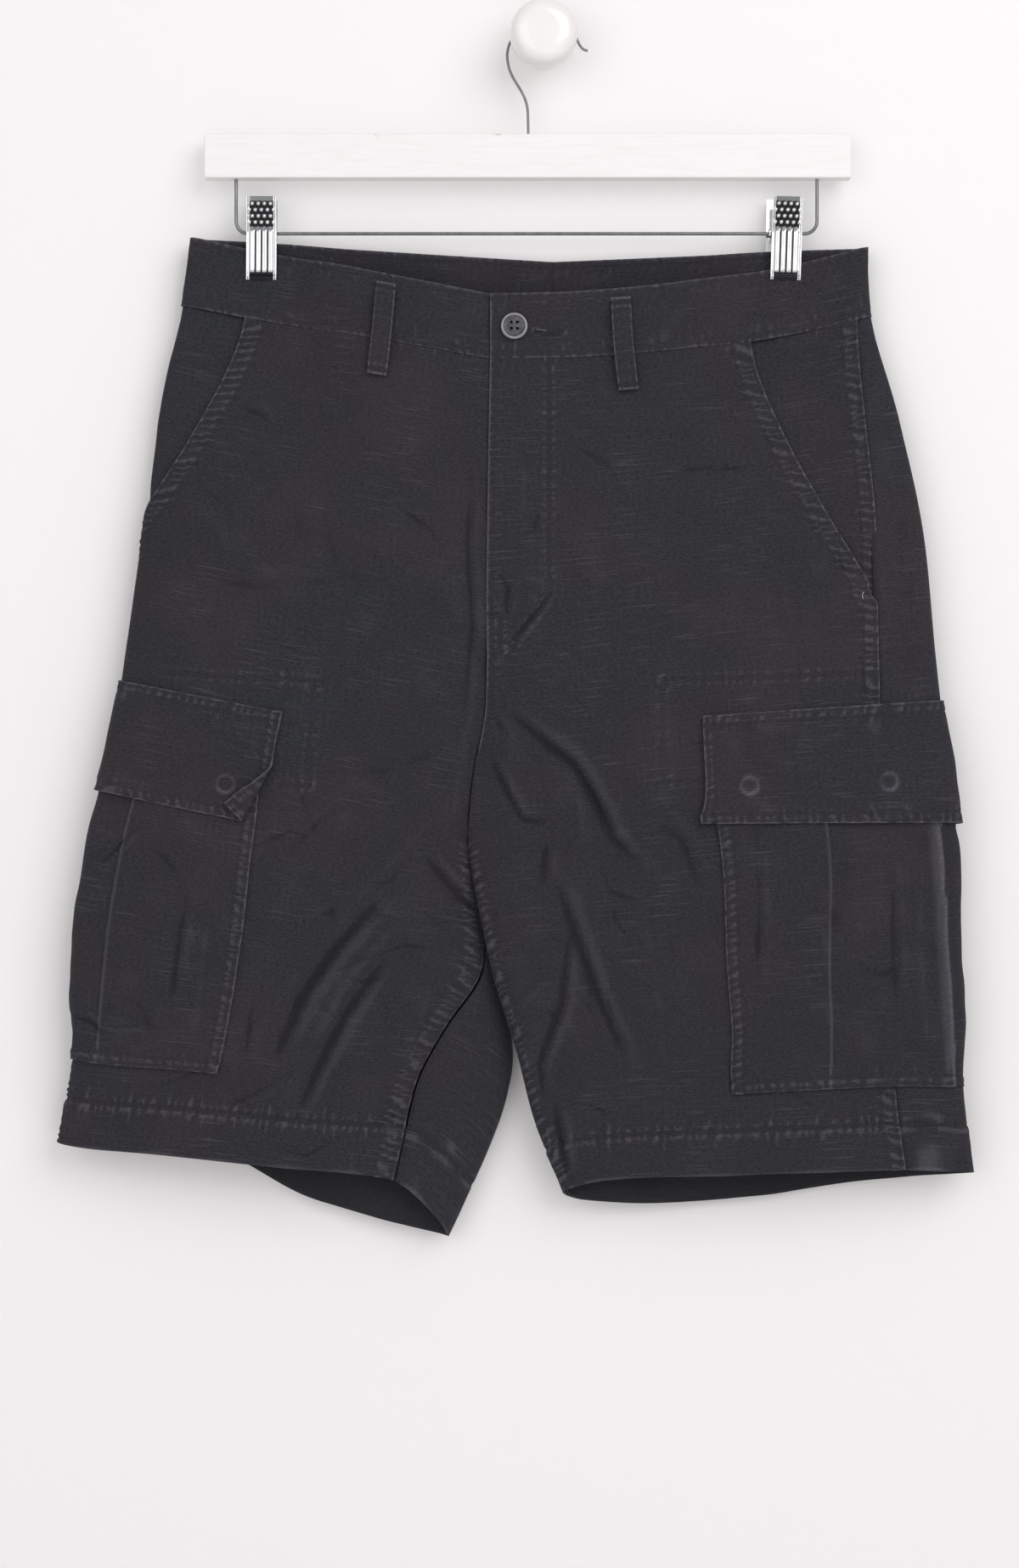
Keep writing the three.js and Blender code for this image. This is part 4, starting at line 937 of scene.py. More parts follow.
def sheet_mesh(name, points, weave, values, flip):
    """A mesh through a grid of places, with a weave map in millimetres and point attributes"""
    rows, columns = points.shape[0] - 1, points.shape[1] - 1
    mesh, column, row = grid_mesh(name, columns, rows)
    if flip:
        column = columns - column
    mesh.vertices.foreach_set("co", (points[row, column] * MILLIMETRE).ravel())
    corner = np.empty(len(mesh.loops), dtype=int)
    mesh.loops.foreach_get("vertex_index", corner)
    places = np.stack([values_at[row, column] for values_at in weave], axis=1) * MILLIMETRE
    mesh.uv_layers.new(name="weave").data.foreach_set("uv", places[corner].ravel())
    for attribute, value in values.items():
        made = mesh.attributes.new(attribute, "FLOAT", "POINT")
        made.data.foreach_set("value", value[row, column].astype(np.float32))
    return mesh


def thick_sheet(name, mesh, material, thickness):
    """An object of a sheet's mesh with its thickness towards the inside"""
    mesh.shade_smooth()
    obj = join_scene(name, mesh, material)
    shell = obj.modifiers.new("thickness", "SOLIDIFY")
    shell.thickness = thickness * MILLIMETRE
    shell.offset = -1
    return obj


# Heights over their surroundings that give full wear on a ridge and full painted shade in a hollow, and fold
# heights that give full painted fold highlight and shade, in millimetres
RIDGE_SCALE = 0.26
RIDGE_WEAR_AND_SHADE = 0.5
FOLD_SCALE = 0.8


def wear_and_hollow_shade(height, wear_and_shade, reach=2, times=2):
    """From 1 for wear on rubbed ridges to -1 for painted shade in hollows"""
    around = height
    for _ in range(times):
        around = blurred(around, reach)
    return np.clip(RIDGE_WEAR_AND_SHADE * np.clip((height - around) / RIDGE_SCALE, -1, 1) + wear_and_shade, -1, 1)


def cloth_piece(name, side, surface, column_stops, row_stops, thickness, material, closed=False):
    """A thin shell of cloth on a fine grid, with a weave map, and as attributes its wear with painted hollow shade
    and its folds, which set painted fold highlight and shade
    """
    rows = step_count(row_stops)
    falls = np.array(spread(row_stops, rows))
    stops = column_stops(falls)
    columns = step_count(stops)
    ring = np.stack(spread(stops, columns), axis=1)
    fall = np.repeat(falls[:, None], columns + 1, axis=1)
    points, height, wear_and_shade, folds_and_painted_shade = surface(ring, fall)
    folds_and_painted_shade = np.clip((folds_and_painted_shade - blurred(blurred(folds_and_painted_shade, 4), 4)) / FOLD_SCALE, -1, 1)
    across = bare_cloth(side, ring, fall)[..., 0] - side["grain"] * fall
    values = {"wear_and_shade": wear_and_hollow_shade(height, wear_and_shade), "folds_and_painted_shade": folds_and_painted_shade}
    mesh = sheet_mesh(name, points, (across, fall), values, side["turn"] > 0)
    if closed:
        bm = bmesh.new()
        bm.from_mesh(mesh)
        bmesh.ops.remove_doubles(bm, verts=bm.verts, dist=MERGE_DISTANCE)
        bm.to_mesh(mesh)
        bm.free()
    return thick_sheet(name, mesh, material, thickness)


# Materials
def linear(hex_colour):
    """An sRGB hex colour as linear red, green, blue and alpha"""
    channels = [int(hex_colour[n:n + 2], 16) / 255 for n in (1, 3, 5)]
    return [c / 12.92 if c <= 0.04045 else ((c + 0.055) / 1.055) ** 2.4 for c in channels] + [1]


def node(tree, kind, settings=None, values=None, links=None):
    """Adds a node: settings are its own options, values fill sockets and links feed them"""
    made = tree.nodes.new(kind)
    for name, value in (settings or {}).items():
        setattr(made, name, value)
    for socket, value in (values or {}).items():
        made.inputs[socket].default_value = value
    for socket, source in (links or {}).items():
        tree.links.new(source, made.inputs[socket])
    return made


def new_material(name):
    material = bpy.data.materials.new(name)
    material.use_nodes = True
    tree = material.node_tree
    tree.nodes.clear()
    shader = node(tree, "ShaderNodeBsdfPrincipled")
    node(tree, "ShaderNodeOutputMaterial", links={"Surface": shader.outputs["BSDF"]})
    return material, tree, shader


def ramp(tree, source, low, high):
    """Stretches a range of a value to 0 to 1"""
    return node(
        tree, "ShaderNodeMapRange", {"interpolation_type": "SMOOTHSTEP"},
        {"From Min": low, "From Max": high}, {"Value": source},
    ).outputs["Result"]


def maths(tree, operation, first, second):
    made = node(tree, "ShaderNodeMath", {"operation": operation})
    for socket, value in zip(made.inputs, (first, second)):
        if isinstance(value, (int, float)):
            socket.default_value = value
        else:
            tree.links.new(value, socket)
    return made.outputs[0]


def mixed(tree, share, first, second):
    """A colour between two colours or sockets"""
    made = node(tree, "ShaderNodeMix", {"data_type": "RGBA"})
    slots = [s for s in made.inputs if s.enabled]
    for socket, value in zip(slots, (share, first, second)):
        if isinstance(value, (int, float, list)):
            socket.default_value = value
        else:
            tree.links.new(value, socket)
    return [s for s in made.outputs if s.enabled][0]


# Threads of the canvas in metres
RIPSTOP_PITCH = 0.0044
THREAD_PITCH = 0.0013


def canvas(name, tint, patch_cold, patch_warm, pale_wear_and_highlight_tint, slub_tint):
    """Cotton ripstop canvas, garment-dyed and washed: matt, with slubs and paler raised edges, painted shade in
    hollows and crease troughs, and fold crests made paler, partly fading and partly painted highlight
    """
    material, tree, shader = new_material(name)
    place = node(tree, "ShaderNodeTexCoord")
    weave = node(tree, "ShaderNodeSeparateXYZ", links={"Vector": place.outputs["UV"]})
    u, v = weave.outputs["X"], weave.outputs["Y"]

    def noise(scale, detail, vector, rough=0.55):
        return node(
            tree, "ShaderNodeTexNoise", {}, {"Scale": scale, "Detail": detail, "Roughness": rough},
            {"Vector": vector},
        ).outputs["Fac"]

    def stretched(along_u, along_v):
        return node(
            tree, "ShaderNodeMapping", {}, {"Scale": (along_u, along_v, 1)}, {"Vector": place.outputs["UV"]}
        ).outputs["Vector"]

    def tinted(share, weight, tint):
        """The colour so far with a share of a tint over it"""
        return mixed(tree, maths(tree, "MULTIPLY", share, weight), colour, linear(tint))

    # Dye takes unevenly in patches 60 to 120 mm across
    cold = ramp(tree, noise(9, 2, place.outputs["Object"]), 0.42, 0.68)
    warm = ramp(tree, noise(13, 2, node(
        tree, "ShaderNodeMapping", {}, {"Location": (3, 1, 7)}, {"Vector": place.outputs["Object"]}
    ).outputs["Vector"]), 0.46, 0.7)
    colour = mixed(tree, cold, linear(tint), linear(patch_cold))
    colour = mixed(tree, warm, colour, linear(patch_warm))
    # Thick weft threads show as paler dashes 10 to 30 mm long and about 1 mm wide
    dashes = ramp(tree, noise(1, 1, stretched(34, 900)), 0.57, 0.74)
    sparse = ramp(tree, noise(26, 1, place.outputs["Object"]), 0.42, 0.62)
    slub = maths(tree, "MULTIPLY", dashes, sparse)
    colour = tinted(slub, 0.6, slub_tint)
    upright = ramp(tree, noise(1, 1, stretched(1250, 60)), 0.64, 0.8)
    colour = tinted(upright, 0.3, slub_tint)

    # Ripstop threads cross every 4.4 mm; real threads of 0.4 mm are drawn 1.3 mm apart to show
    def ribs(axis, pitch):
        turns = maths(tree, "MULTIPLY", axis, 2 * math.pi / pitch)
        return maths(tree, "SINE", turns, 0)

    def checks(axis):
        return ramp(tree, ribs(axis, RIPSTOP_PITCH), 0.86, 1.0)

    rip = maths(tree, "MAXIMUM", checks(u), checks(v))
    patchy = ramp(tree, noise(30, 2, place.outputs["Object"]), 0.45, 0.7)
    colour = tinted(maths(tree, "MULTIPLY", rip, patchy), 0.14, slub_tint)
    # Single yarns differ in colour, drawn about 1 mm thick
    yarns = ramp(tree, noise(1, 2, stretched(420, 900), 0.65), 0.3, 0.72)
    colour = tinted(yarns, 0.32, slub_tint)
    # Seams are rubbed paler on their ridges as wear; their hollows and the buttonhole's slit are darkened as
    # painted shade
    wear_and_shade = node(tree, "ShaderNodeAttribute", {"attribute_name": "wear_and_shade"}).outputs["Fac"]
    grit = ramp(tree, noise(700, 2, place.outputs["Object"]), 0.25, 0.75)
    specks = maths(tree, "ADD", 0.35, maths(tree, "MULTIPLY", grit, 0.45))
    colour = tinted(maths(tree, "MULTIPLY", ramp(tree, wear_and_shade, 0.06, 0.95), specks), 1.0, pale_wear_and_highlight_tint)
    colour = tinted(ramp(tree, maths(tree, "MULTIPLY", wear_and_shade, -1), 0.1, 1.0), 0.6, "#1c1b1f")
    # Fold crests are made paler, partly as fading along creases and partly as painted highlight; crease troughs
    # are darkened as painted shade
    folds_and_painted_shade = node(tree, "ShaderNodeAttribute", {"attribute_name": "folds_and_painted_shade"}).outputs["Fac"]
    colour = tinted(ramp(tree, folds_and_painted_shade, 0.1, 1.2), 0.12, pale_wear_and_highlight_tint)
    colour = tinted(ramp(tree, maths(tree, "MULTIPLY", folds_and_painted_shade, -1), 0.2, 1.15), 0.6, "#141316")
    tree.links.new(colour, shader.inputs["Base Color"])
    grain = maths(tree, "MULTIPLY", noise(1, 2, stretched(900, 900), 0.7), 1.3)
    across = maths(tree, "MULTIPLY", ribs(u, THREAD_PITCH), 0.25)
    threads = maths(tree, "ADD", across, maths(tree, "MULTIPLY", ribs(v, THREAD_PITCH), 0.25))
    thick = maths(tree, "ADD", maths(tree, "MULTIPLY", slub, 0.8), maths(tree, "MULTIPLY", rip, 0.35))
    heights = maths(tree, "ADD", maths(tree, "ADD", threads, grain), thick)
    bump = node(tree, "ShaderNodeBump", {}, {"Strength": 0.5, "Distance": 0.00035}, {"Height": heights})
    tree.links.new(bump.outputs["Normal"], shader.inputs["Normal"])
    rough = node(tree, "ShaderNodeMapRange", {}, {"To Min": 0.84, "To Max": 0.97}, {"Value": grit})
    tree.links.new(rough.outputs["Result"], shader.inputs["Roughness"])
    shader.inputs["Specular IOR Level"].default_value = 0.25
    shader.inputs["Sheen Weight"].default_value = 0.08
    shader.inputs["Sheen Roughness"].default_value = 0.5
    shader.inputs["Sheen Tint"].default_value = linear("#b9b8c0")
    return material


def plain_finish(
    name, tint, second, scale, share, roughness, spread_rough, metallic=0.0, bump=0.0, stretch=(1, 1, 1)
):
    """A finish with uneven colour and roughness at one scale"""
    material, tree, shader = new_material(name)
    place = node(tree, "ShaderNodeTexCoord")
    vector = node(tree, "ShaderNodeMapping", {}, {"Scale": stretch}, {"Vector": place.outputs["Object"]})
    noise = node(
        tree, "ShaderNodeTexNoise", {}, {"Scale": scale, "Detail": 4, "Roughness": 0.6},
        {"Vector": vector.outputs["Vector"]},
    ).outputs["Fac"]
    uneven = ramp(tree, noise, 0.35, 0.7)
    colour = mixed(tree, maths(tree, "MULTIPLY", uneven, share), linear(tint), linear(second))
    tree.links.new(colour, shader.inputs["Base Color"])
    rough = node(
        tree, "ShaderNodeMapRange", {}, {"To Min": roughness, "To Max": roughness + spread_rough}, {"Value": noise}
    )
    tree.links.new(rough.outputs["Result"], shader.inputs["Roughness"])
    shader.inputs["Metallic"].default_value = metallic
    if bump:
        relief = node(tree, "ShaderNodeBump", {}, {"Strength": 0.4, "Distance": bump}, {"Height": noise})
        tree.links.new(relief.outputs["Normal"], shader.inputs["Normal"])
    return material, tree, shader


def painted_wood():
    """White brushed paint on planed wood: satin, with fine grain under it and small brown scuffs"""
    material, tree, shader = plain_finish(
        "painted_beech", "#f4f2f1", "#eeecea", 40, 0.6, 0.38, 0.12, bump=0.00004, stretch=(1, 8, 14)
    )
    place = node(tree, "ShaderNodeTexCoord")
    spots = node(
        tree, "ShaderNodeTexNoise", {}, {"Scale": 55, "Detail": 3, "Roughness": 0.6},
        {"Vector": place.outputs["Object"]},
    ).outputs["Fac"]
    height = node(tree, "ShaderNodeSeparateXYZ", links={"Vector": place.outputs["Object"]}).outputs["Z"]
    near_top = ramp(tree, height, -0.0645, -0.0615)
    scuff = maths(tree, "MULTIPLY", ramp(tree, spots, 0.66, 0.74), near_top)
    old = shader.inputs["Base Color"].links[0].from_socket
    colour = mixed(tree, maths(tree, "MULTIPLY", scuff, 0.6), old, linear("#a98f78"))
    tree.links.new(colour, shader.inputs["Base Color"])
    return material


def horn_button(rim_radius, centre):
    """Moulded polyester imitating horn: smoky grey, paler at the rim, with dark clouds in the dish"""
    material, tree, shader = new_material("moulded_horn_resin")
    place = node(tree, "ShaderNodeTexCoord")
    offset = node(
        tree, "ShaderNodeVectorMath", {"operation": "DISTANCE"}, {1: centre}, {0: place.outputs["Object"]}
    ).outputs["Value"]
    clouds = node(
        tree, "ShaderNodeTexNoise", {}, {"Scale": 260, "Detail": 3, "Roughness": 0.6},
        {"Vector": place.outputs["Object"]},
    ).outputs["Fac"]
    dish = mixed(tree, ramp(tree, clouds, 0.35, 0.7), linear("#2f2d33"), linear("#57545c"))
    rim = ramp(tree, offset, rim_radius * 0.76, rim_radius * 0.9)
    colour = mixed(tree, rim, dish, linear("#8f8b90"))
    tree.links.new(colour, shader.inputs["Base Color"])
    rough = node(tree, "ShaderNodeMapRange", {}, {"To Min": 0.28, "To Max": 0.5}, {"Value": clouds})
    tree.links.new(rough.outputs["Result"], shader.inputs["Roughness"])
    shader.inputs["Coat Weight"].default_value = 0.2
    return material


MATERIALS = {}


def make_materials(settings):
    MATERIALS["canvas"] = canvas(
        "washed_ripstop_canvas", "#242227", "#212328", "#2c2429", "#66646b", "#4a494f"
    )
    MATERIALS["inside"] = canvas(
        "inside_ripstop_canvas", "#252429", "#242629", "#282427", "#46454a", "#38373c"
    )
    thread, _, shader = plain_finish("spun_polyester_thread", "#1e1c20", "#2c2a2e", 900, 0.6, 0.6, 0.2)
    shader.inputs["Sheen Weight"].default_value = 0.1
    MATERIALS["thread"] = thread
    pale, _, shader = plain_finish("frayed_cotton_thread", "#b9b8ba", "#8d8c90", 900, 0.6, 0.7, 0.2)
    MATERIALS["frayed"] = pale
    MATERIALS["wood"] = painted_wood()
    MATERIALS["steel"], _, _ = plain_finish(
        "drawn_steel_wire", "#8a8c8b", "#6c6e6d", 300, 0.7, 0.26, 0.12, 1.0, stretch=(1, 1, 0.2)
    )
    # Nickel-chrome on pressed steel, mirror bright; its pressed hollows are darkened as painted shade and dark
    # reflection
    chrome, tree, shader = plain_finish("nickel_chrome_plate", "#eceded", "#d2d3d5", 160, 0.5, 0.07, 0.1, 1.0)
    old = shader.inputs["Base Color"].links[0].from_socket
    hollow_shade = node(tree, "ShaderNodeAttribute", {"attribute_name": "painted_hollow_shade"}).outputs["Fac"]
    colour = mixed(tree, ramp(tree, hollow_shade, 0.25, 0.9), old, linear("#2a2a2c"))
    tree.links.new(colour, shader.inputs["Base Color"])
    MATERIALS["chrome"] = chrome
    enamel, _, shader = plain_finish("white_gloss_enamel", "#f6f3f1", "#f1edea", 60, 0.6, 0.12, 0.08)
    shader.inputs["Coat Weight"].default_value = 0.4
    MATERIALS["enamel"] = enamel


def dress(obj, nodes=()):
    """Sets a piece on the one body and the CAD nodes it stands for"""
    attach(obj, "root")
    if nodes:
        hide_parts(*nodes)
    return obj


# Stitching
def stitch_rows(name, routes, material, settings):
    """Short raised threads along routes, each a surface with its ring and fall values"""
    all_rows = bmesh.new()
    for surface, ring, fall, options in routes:
        bm = bmesh.new()
        pitch = options.get("pitch", settings.stitch_pitch / MILLIMETRE)
        length = options.get("length", settings.stitch_length / MILLIMETRE)
        across = options.get("across", False)
        depth = options.get("depth", 0)
        radius = options.get("radius", settings.thread_radius / MILLIMETRE)
        points = surface(np.asarray(ring, float), np.asarray(fall, float))[0]
        steps = np.linalg.norm(np.diff(points, axis=0), axis=1)
        way = np.concatenate([[0], np.cumsum(steps)])
        count = int(way[-1] / pitch)
        outside = options.get("outside", -1)
        for n in range(count):
            middle = (n + 0.5) * pitch
            ends = [
                Vector([np.interp(middle + end * pitch * 0.3, way, points[:, axis]) for axis in range(3)])
                for end in (-1, 1)
            ]
            centre = (ends[0] + ends[1]) / 2
            run = (ends[1] - ends[0]).normalized()
            if across:
                run = run.cross(Vector((0, 1, 0))).normalized()
            centre.y += outside * (radius * 0.35 - depth)
            turn = run.to_track_quat("X", "Z").to_matrix().to_4x4()
            size = Matrix.Diagonal((length / 2, radius, radius, 1))
            bmesh.ops.create_uvsphere(
                bm, u_segments=5, v_segments=3, radius=MILLIMETRE,
                matrix=Matrix.Translation(centre * MILLIMETRE) @ turn @ size,
            )
        row = bpy.data.meshes.new("row")
        bm.to_mesh(row)
        bm.free()
        all_rows.from_mesh(row)
        bpy.data.meshes.remove(row)
    mesh = bpy.data.meshes.new(name)
    all_rows.to_mesh(mesh)
    all_rows.free()
    mesh.shade_smooth()
    return dress(join_scene(name, mesh, material))


def upright_route(side, surface, name_or_ring, offset, start, end, **options):
    """A route down the cloth, offset in millimetres from a line of the pattern"""
    falls = np.linspace(start, end, max(int((end - start) / 1.5), 4))
    if name_or_ring == "slant":
        base = slant_ring(side, falls)
    elif isinstance(name_or_ring, str):
        base = line(side, name_or_ring, falls)
    else:
        base = np.full(falls.shape, name_or_ring)
    return surface, base + offset / width_of(side, falls), falls, options


def level_route(surface, fall, start, end, **options):
    """A route round the cloth at one fall"""
    rings = np.linspace(start, end, max(int(abs(end - start) * 170), 8))
    return surface, rings, np.full(rings.shape, float(fall)), options


def view_route(side, surface, places, **options):
    """A route through (x, z) places of the front view"""
    points = np.array(places, float)
    lengths = np.hypot(*np.diff(points, axis=0).T)
    way = np.concatenate([[0], np.cumsum(lengths)])
    fine = np.linspace(0, way[-1], max(int(way[-1] / 1.5), 4))
    ring, fall = locate(side, np.interp(fine, way, points[:, 0]), np.interp(fine, way, points[:, 1]))
    return surface, ring, fall, options


# Every surface by name, for the stitching that lies on it
SURFACES = {}


def fly_lift(side, ring, fall):
    beside = 1 - ease(ring, 0.1, 0.2)
    lift = side["fly_step"] * beside * (1 - ease(fall, FLY_END - 25, FLY_END + 15))
    return np.where(np.asarray(ring) > 1, 0, lift)


LEG_ROWS = (
    (0.15, 40), (66, 54), (SLANT_END - 6, 8), (SLANT_END + 6, 40), (FLAP_TOP, 32),
    (CROTCH, 18), (330, 90), (500, 22), (HEM_STITCH + 2, 22), (HEM, 0),
)


def front_columns(side):
    def columns(falls):
        edge = np.where(falls < SLANT_END + SLANT_TURN, slant_ring(side, falls), line(side, "side", falls))
        inner = line(side, "inseam", falls)
        band = BAND_WIDTH["slant"] / width_of(side, falls) * 1.3
        return [(inner, 10), (inner + FOLD_SHARE, 96), (edge - band, 14), (edge, 0)]
    return columns


def back_columns(side):
    def columns(falls):
        seam = line(side, "side", falls) - 3 / width_of(side, falls)
        inner = line(side, "inseam", falls)
        turned = np.clip(inner / FOLD_SHARE, 0, 1)
        last = 2 + inner - 1.5 / width_of(side, falls) * (falls > CROTCH)
        low = np.maximum(seam + 0.02, 1 + FOLD_SHARE)
        return [
            (seam, 10), (low, 66), (2 - (2 - turned) * FOLD_SHARE, 10), (last, 0),
        ]
    return columns


BACK_ROWS = ((0.15, 60), (SLANT_END, 60), (CROTCH, 60), (500, 12), (HEM_STITCH, 20), (HEM, 0))


def tucked(side, ring, fall):
    """The back's first millimetres lie under the front's felled edge"""
    width = width_of(side, fall)
    from_seam = (ring - line(side, "side", fall)) * width
    under = 1 - ease(from_seam, -0.5, 1.2)
    return -(CLOTH + 0.15) * under


class ShortsSettings(PropertyGroup):
    cloth_thickness: FloatProperty(
        name="Cloth thickness", description="Thickness of the main canvas", default=CLOTH * MILLIMETRE,
        unit="LENGTH",
    )
    band_thickness: FloatProperty(
        name="Band thickness", description="Thickness of the doubled waistband",
        default=BAND_CLOTH * MILLIMETRE, unit="LENGTH",
    )
    stitch_pitch: FloatProperty(
        name="Stitch pitch", description="Distance from one stitch to the next",
        default=3.0 * MILLIMETRE, unit="LENGTH",
    )
    stitch_length: FloatProperty(
        name="Stitch length", description="Length of thread that shows in one stitch",
        default=2.3 * MILLIMETRE, unit="LENGTH",
    )
    thread_radius: FloatProperty(
        name="Thread radius", description="Half the thickness of the thread",
        default=0.27 * MILLIMETRE, unit="LENGTH",
    )
    wall_colour: FloatVectorProperty(
        name="Wall colour", description="Colour of the wall behind the garment", subtype="COLOR",
        size=4, default=linear("#f8f5f5"), min=0, max=1,
    )
    floor_colour: FloatVectorProperty(
        name="Floor colour", description="Colour of the floor", subtype="COLOR",
        size=4, default=linear("#f0efee"), min=0, max=1,
    )


def declare(obj):
    return obj


class SHORTS_OT_panels(Operator):
    """Builds the front and back panels of both legs"""
    bl_idname = "shorts.panels"
    bl_label = "Leg panels"

    def execute(self, context):
        settings = context.scene.shorts
        thickness = settings.cloth_thickness / MILLIMETRE
        for hand, side in SIDES.items():
            front = surface_of(side, front_relief, fly_lift, base=1)
            SURFACES[f"front_{hand}"] = front
            obj = cloth_piece(
                f"front_panel_{hand}", side, front, front_columns(side), LEG_ROWS, thickness,
                MATERIALS["canvas"],
            )
            declare(dress(obj, [f"front_{hand}"]))
            back = surface_of(side, back_relief, tucked, base=1)
            SURFACES[f"back_{hand}"] = back
            obj = cloth_piece(
                f"back_panel_{hand}", side, back, back_columns(side), BACK_ROWS, thickness,
                MATERIALS["canvas"],
            )
            declare(dress(obj, [f"back_{hand}"]))
        return {"FINISHED"}


class SHORTS_OT_waistband(Operator):
    """Builds the two halves of the waistband"""
    bl_idname = "shorts.waistband"
    bl_label = "Waistband"

    def execute(self, context):
        settings = context.scene.shorts
        rows = ((BAND_TOP, 22), (0.6, 0))

        def columns(falls):
            one = np.ones_like(falls)
            return [
                (0 * one, 120), ((1 - FOLD_SHARE) * one, 14), ((1 + FOLD_SHARE) * one, 110), (2 * one, 0),
            ]

        def lapped(side, ring, fall):
            return fly_lift(side, ring, 0) + 0.5

        for hand, side in SIDES.items():
            surface = surface_of(side, band_relief, lapped)
            SURFACES[f"band_{hand}"] = surface
            obj = cloth_piece(
                f"waist_band_{hand}", side, surface, columns, rows,
                settings.band_thickness / MILLIMETRE, MATERIALS["canvas"],
            )
            declare(
                dress(obj, [f"waistband_{hand}"]),
            )
        return {"FINISHED"}


class SHORTS_OT_pockets(Operator):
    """Builds the slant pocket facings, the cargo pockets and their flaps"""
    bl_idname = "shorts.pockets"
    bl_label = "Pockets and flaps"

    def execute(self, context):
        thickness = context.scene.shorts.cloth_thickness / MILLIMETRE
        for hand, side in SIDES.items():
            self.facing(hand, side, thickness)
            self.pocket(hand, side, thickness)
            self.flap(hand, side, thickness)
        return {"FINISHED"}

    def facing(self, hand, side, thickness):
        def columns(falls):
            mouth = slant_ring(side, falls)
            under = np.maximum(mouth - 0.07, 0)
            seam = line(side, "side", falls)
            return [(under, 8), (mouth, 40), (seam, 0)]

        def sunk(side, ring, fall):
            gaps = lerp(1.6, 3, ease(fall, 115, SLANT_END - 12))
            mouth = slant_ring(side, fall)
            level = ease(ring, mouth + 0.01, line(side, "side", fall) - 0.004)
            return -(CLOTH + LAYER_GAP * gaps) * (1 - level * (1 - ease(fall, 120, SLANT_END - 20)))

        surface = surface_of(side, facing_relief, sunk)
        SURFACES[f"facing_{hand}"] = surface
        obj = cloth_piece(
            f"slant_facing_{hand}", side, surface, columns, ((0.15, 90), (SLANT_END, 0)), thickness,
            MATERIALS["canvas"],
        )
        declare(dress(obj, [f"pocket_facing_{hand}"]))

    def pocket(self, hand, side, thickness):
        def columns(falls):
            start = line(side, "pocket", falls)
            pleat = line(side, "pleat", falls)
            one = np.ones_like(falls)
            return [
                (start, 40), (pleat - PLEAT_HALF, 2), (pleat + PLEAT_HALF, 24),
                (np.maximum(pleat + 3 * PLEAT_HALF, 1 - FOLD_SHARE), 18),
                (side["pocket_back"] * one, 0),
            ]

        surface = surface_of(side, pocket_relief, pocket_lift, base=0.5, own=pocket_folds)
        SURFACES[f"pocket_{hand}"] = surface
        obj = cloth_piece(
            f"bellows_pocket_{hand}", side, surface, columns, ((POCKET_TOP, 116), (POCKET_BOTTOM, 0)),
            thickness, MATERIALS["canvas"],
        )
        declare(dress(obj, [f"cargo_pocket_{hand}"]))

    def flap(self, hand, side, thickness):
        def columns(falls):
            start = line(side, "flap", falls)
            one = np.ones_like(falls)
            return [(start, 66), ((1 - FOLD_SHARE) * one, 18), (side["pocket_back"] * one, 0)]

        after = turn_up_corner if hand == "right" else None
        slide = level_flap if hand == "left" else None
        surface = surface_of(side, flap_relief, flap_lift, base=0.6, after=after, slide=slide)
        SURFACES[f"flap_{hand}"] = surface
        obj = cloth_piece(
            f"pocket_flap_{hand}", side, surface, columns, ((FLAP_TOP, 46), (FLAP_BOTTOM, 0)), thickness,
            MATERIALS["canvas"],
        )
        declare(dress(obj, [f"cargo_flap_{hand}"]))


class SHORTS_OT_hems(Operator):
    """Builds the turned-up hems inside the legs"""
    bl_idname = "shorts.hems"
    bl_label = "Hems"

    def execute(self, context):
        def lowered(side, ring, fall):
            return -(CLOTH + 0.15) * np.ones_like(fall)

        def relief(side, ring, fall, x, z):
            height, edge = hem_relief(fall, x, side["seed"] + 50)
            return 0.6 * height - 0.2, 0.4 * edge

        for hand, side in SIDES.items():
            def columns(falls):
                one = np.ones_like(falls)
                return [
                    (0 * one, 10), (FOLD_SHARE * one, 96), ((1 - FOLD_SHARE) * one, 10), (one, 10),
                    ((1 + FOLD_SHARE) * one, 96), ((2 - FOLD_SHARE) * one, 10), (2 * one, 0),
                ]

            surface = surface_of(side, relief, lowered, base=1)
            SURFACES[f"hem_{hand}"] = surface
            obj = cloth_piece(
                f"hem_band_{hand}", side, surface, columns, ((HEM_STITCH - 1, 16), (HEM - 0.3, 0)),
                LINING_CLOTH, MATERIALS["inside"], closed=True,
            )
            declare(dress(obj, [f"hem_{hand}"]))
        return {"FINISHED"}


LOOP_HALF_WIDTH = 6.2
LOOP_CLOTH = 1.8
LOOP_AT_WALL = 0.2
LOOP_RISE = 2.4
LOOP_TOP = -34
LOOP_BOTTOM = 24
LOOP_FLATNESS = 0.6
# Ring places of the loops at their top and foot
LOOP_RINGS = {"front": (0.335, 0.345), "back": (1.5, 1.5)}


def loop_lift(fall):
    middle = np.sin(math.pi * np.clip((fall - LOOP_TOP) / (LOOP_BOTTOM - LOOP_TOP), 0, 1))
    return LAYER_GAP + 0.7 + LOOP_RISE * np.maximum(middle, 0) ** LOOP_FLATNESS + LOOP_CLOTH


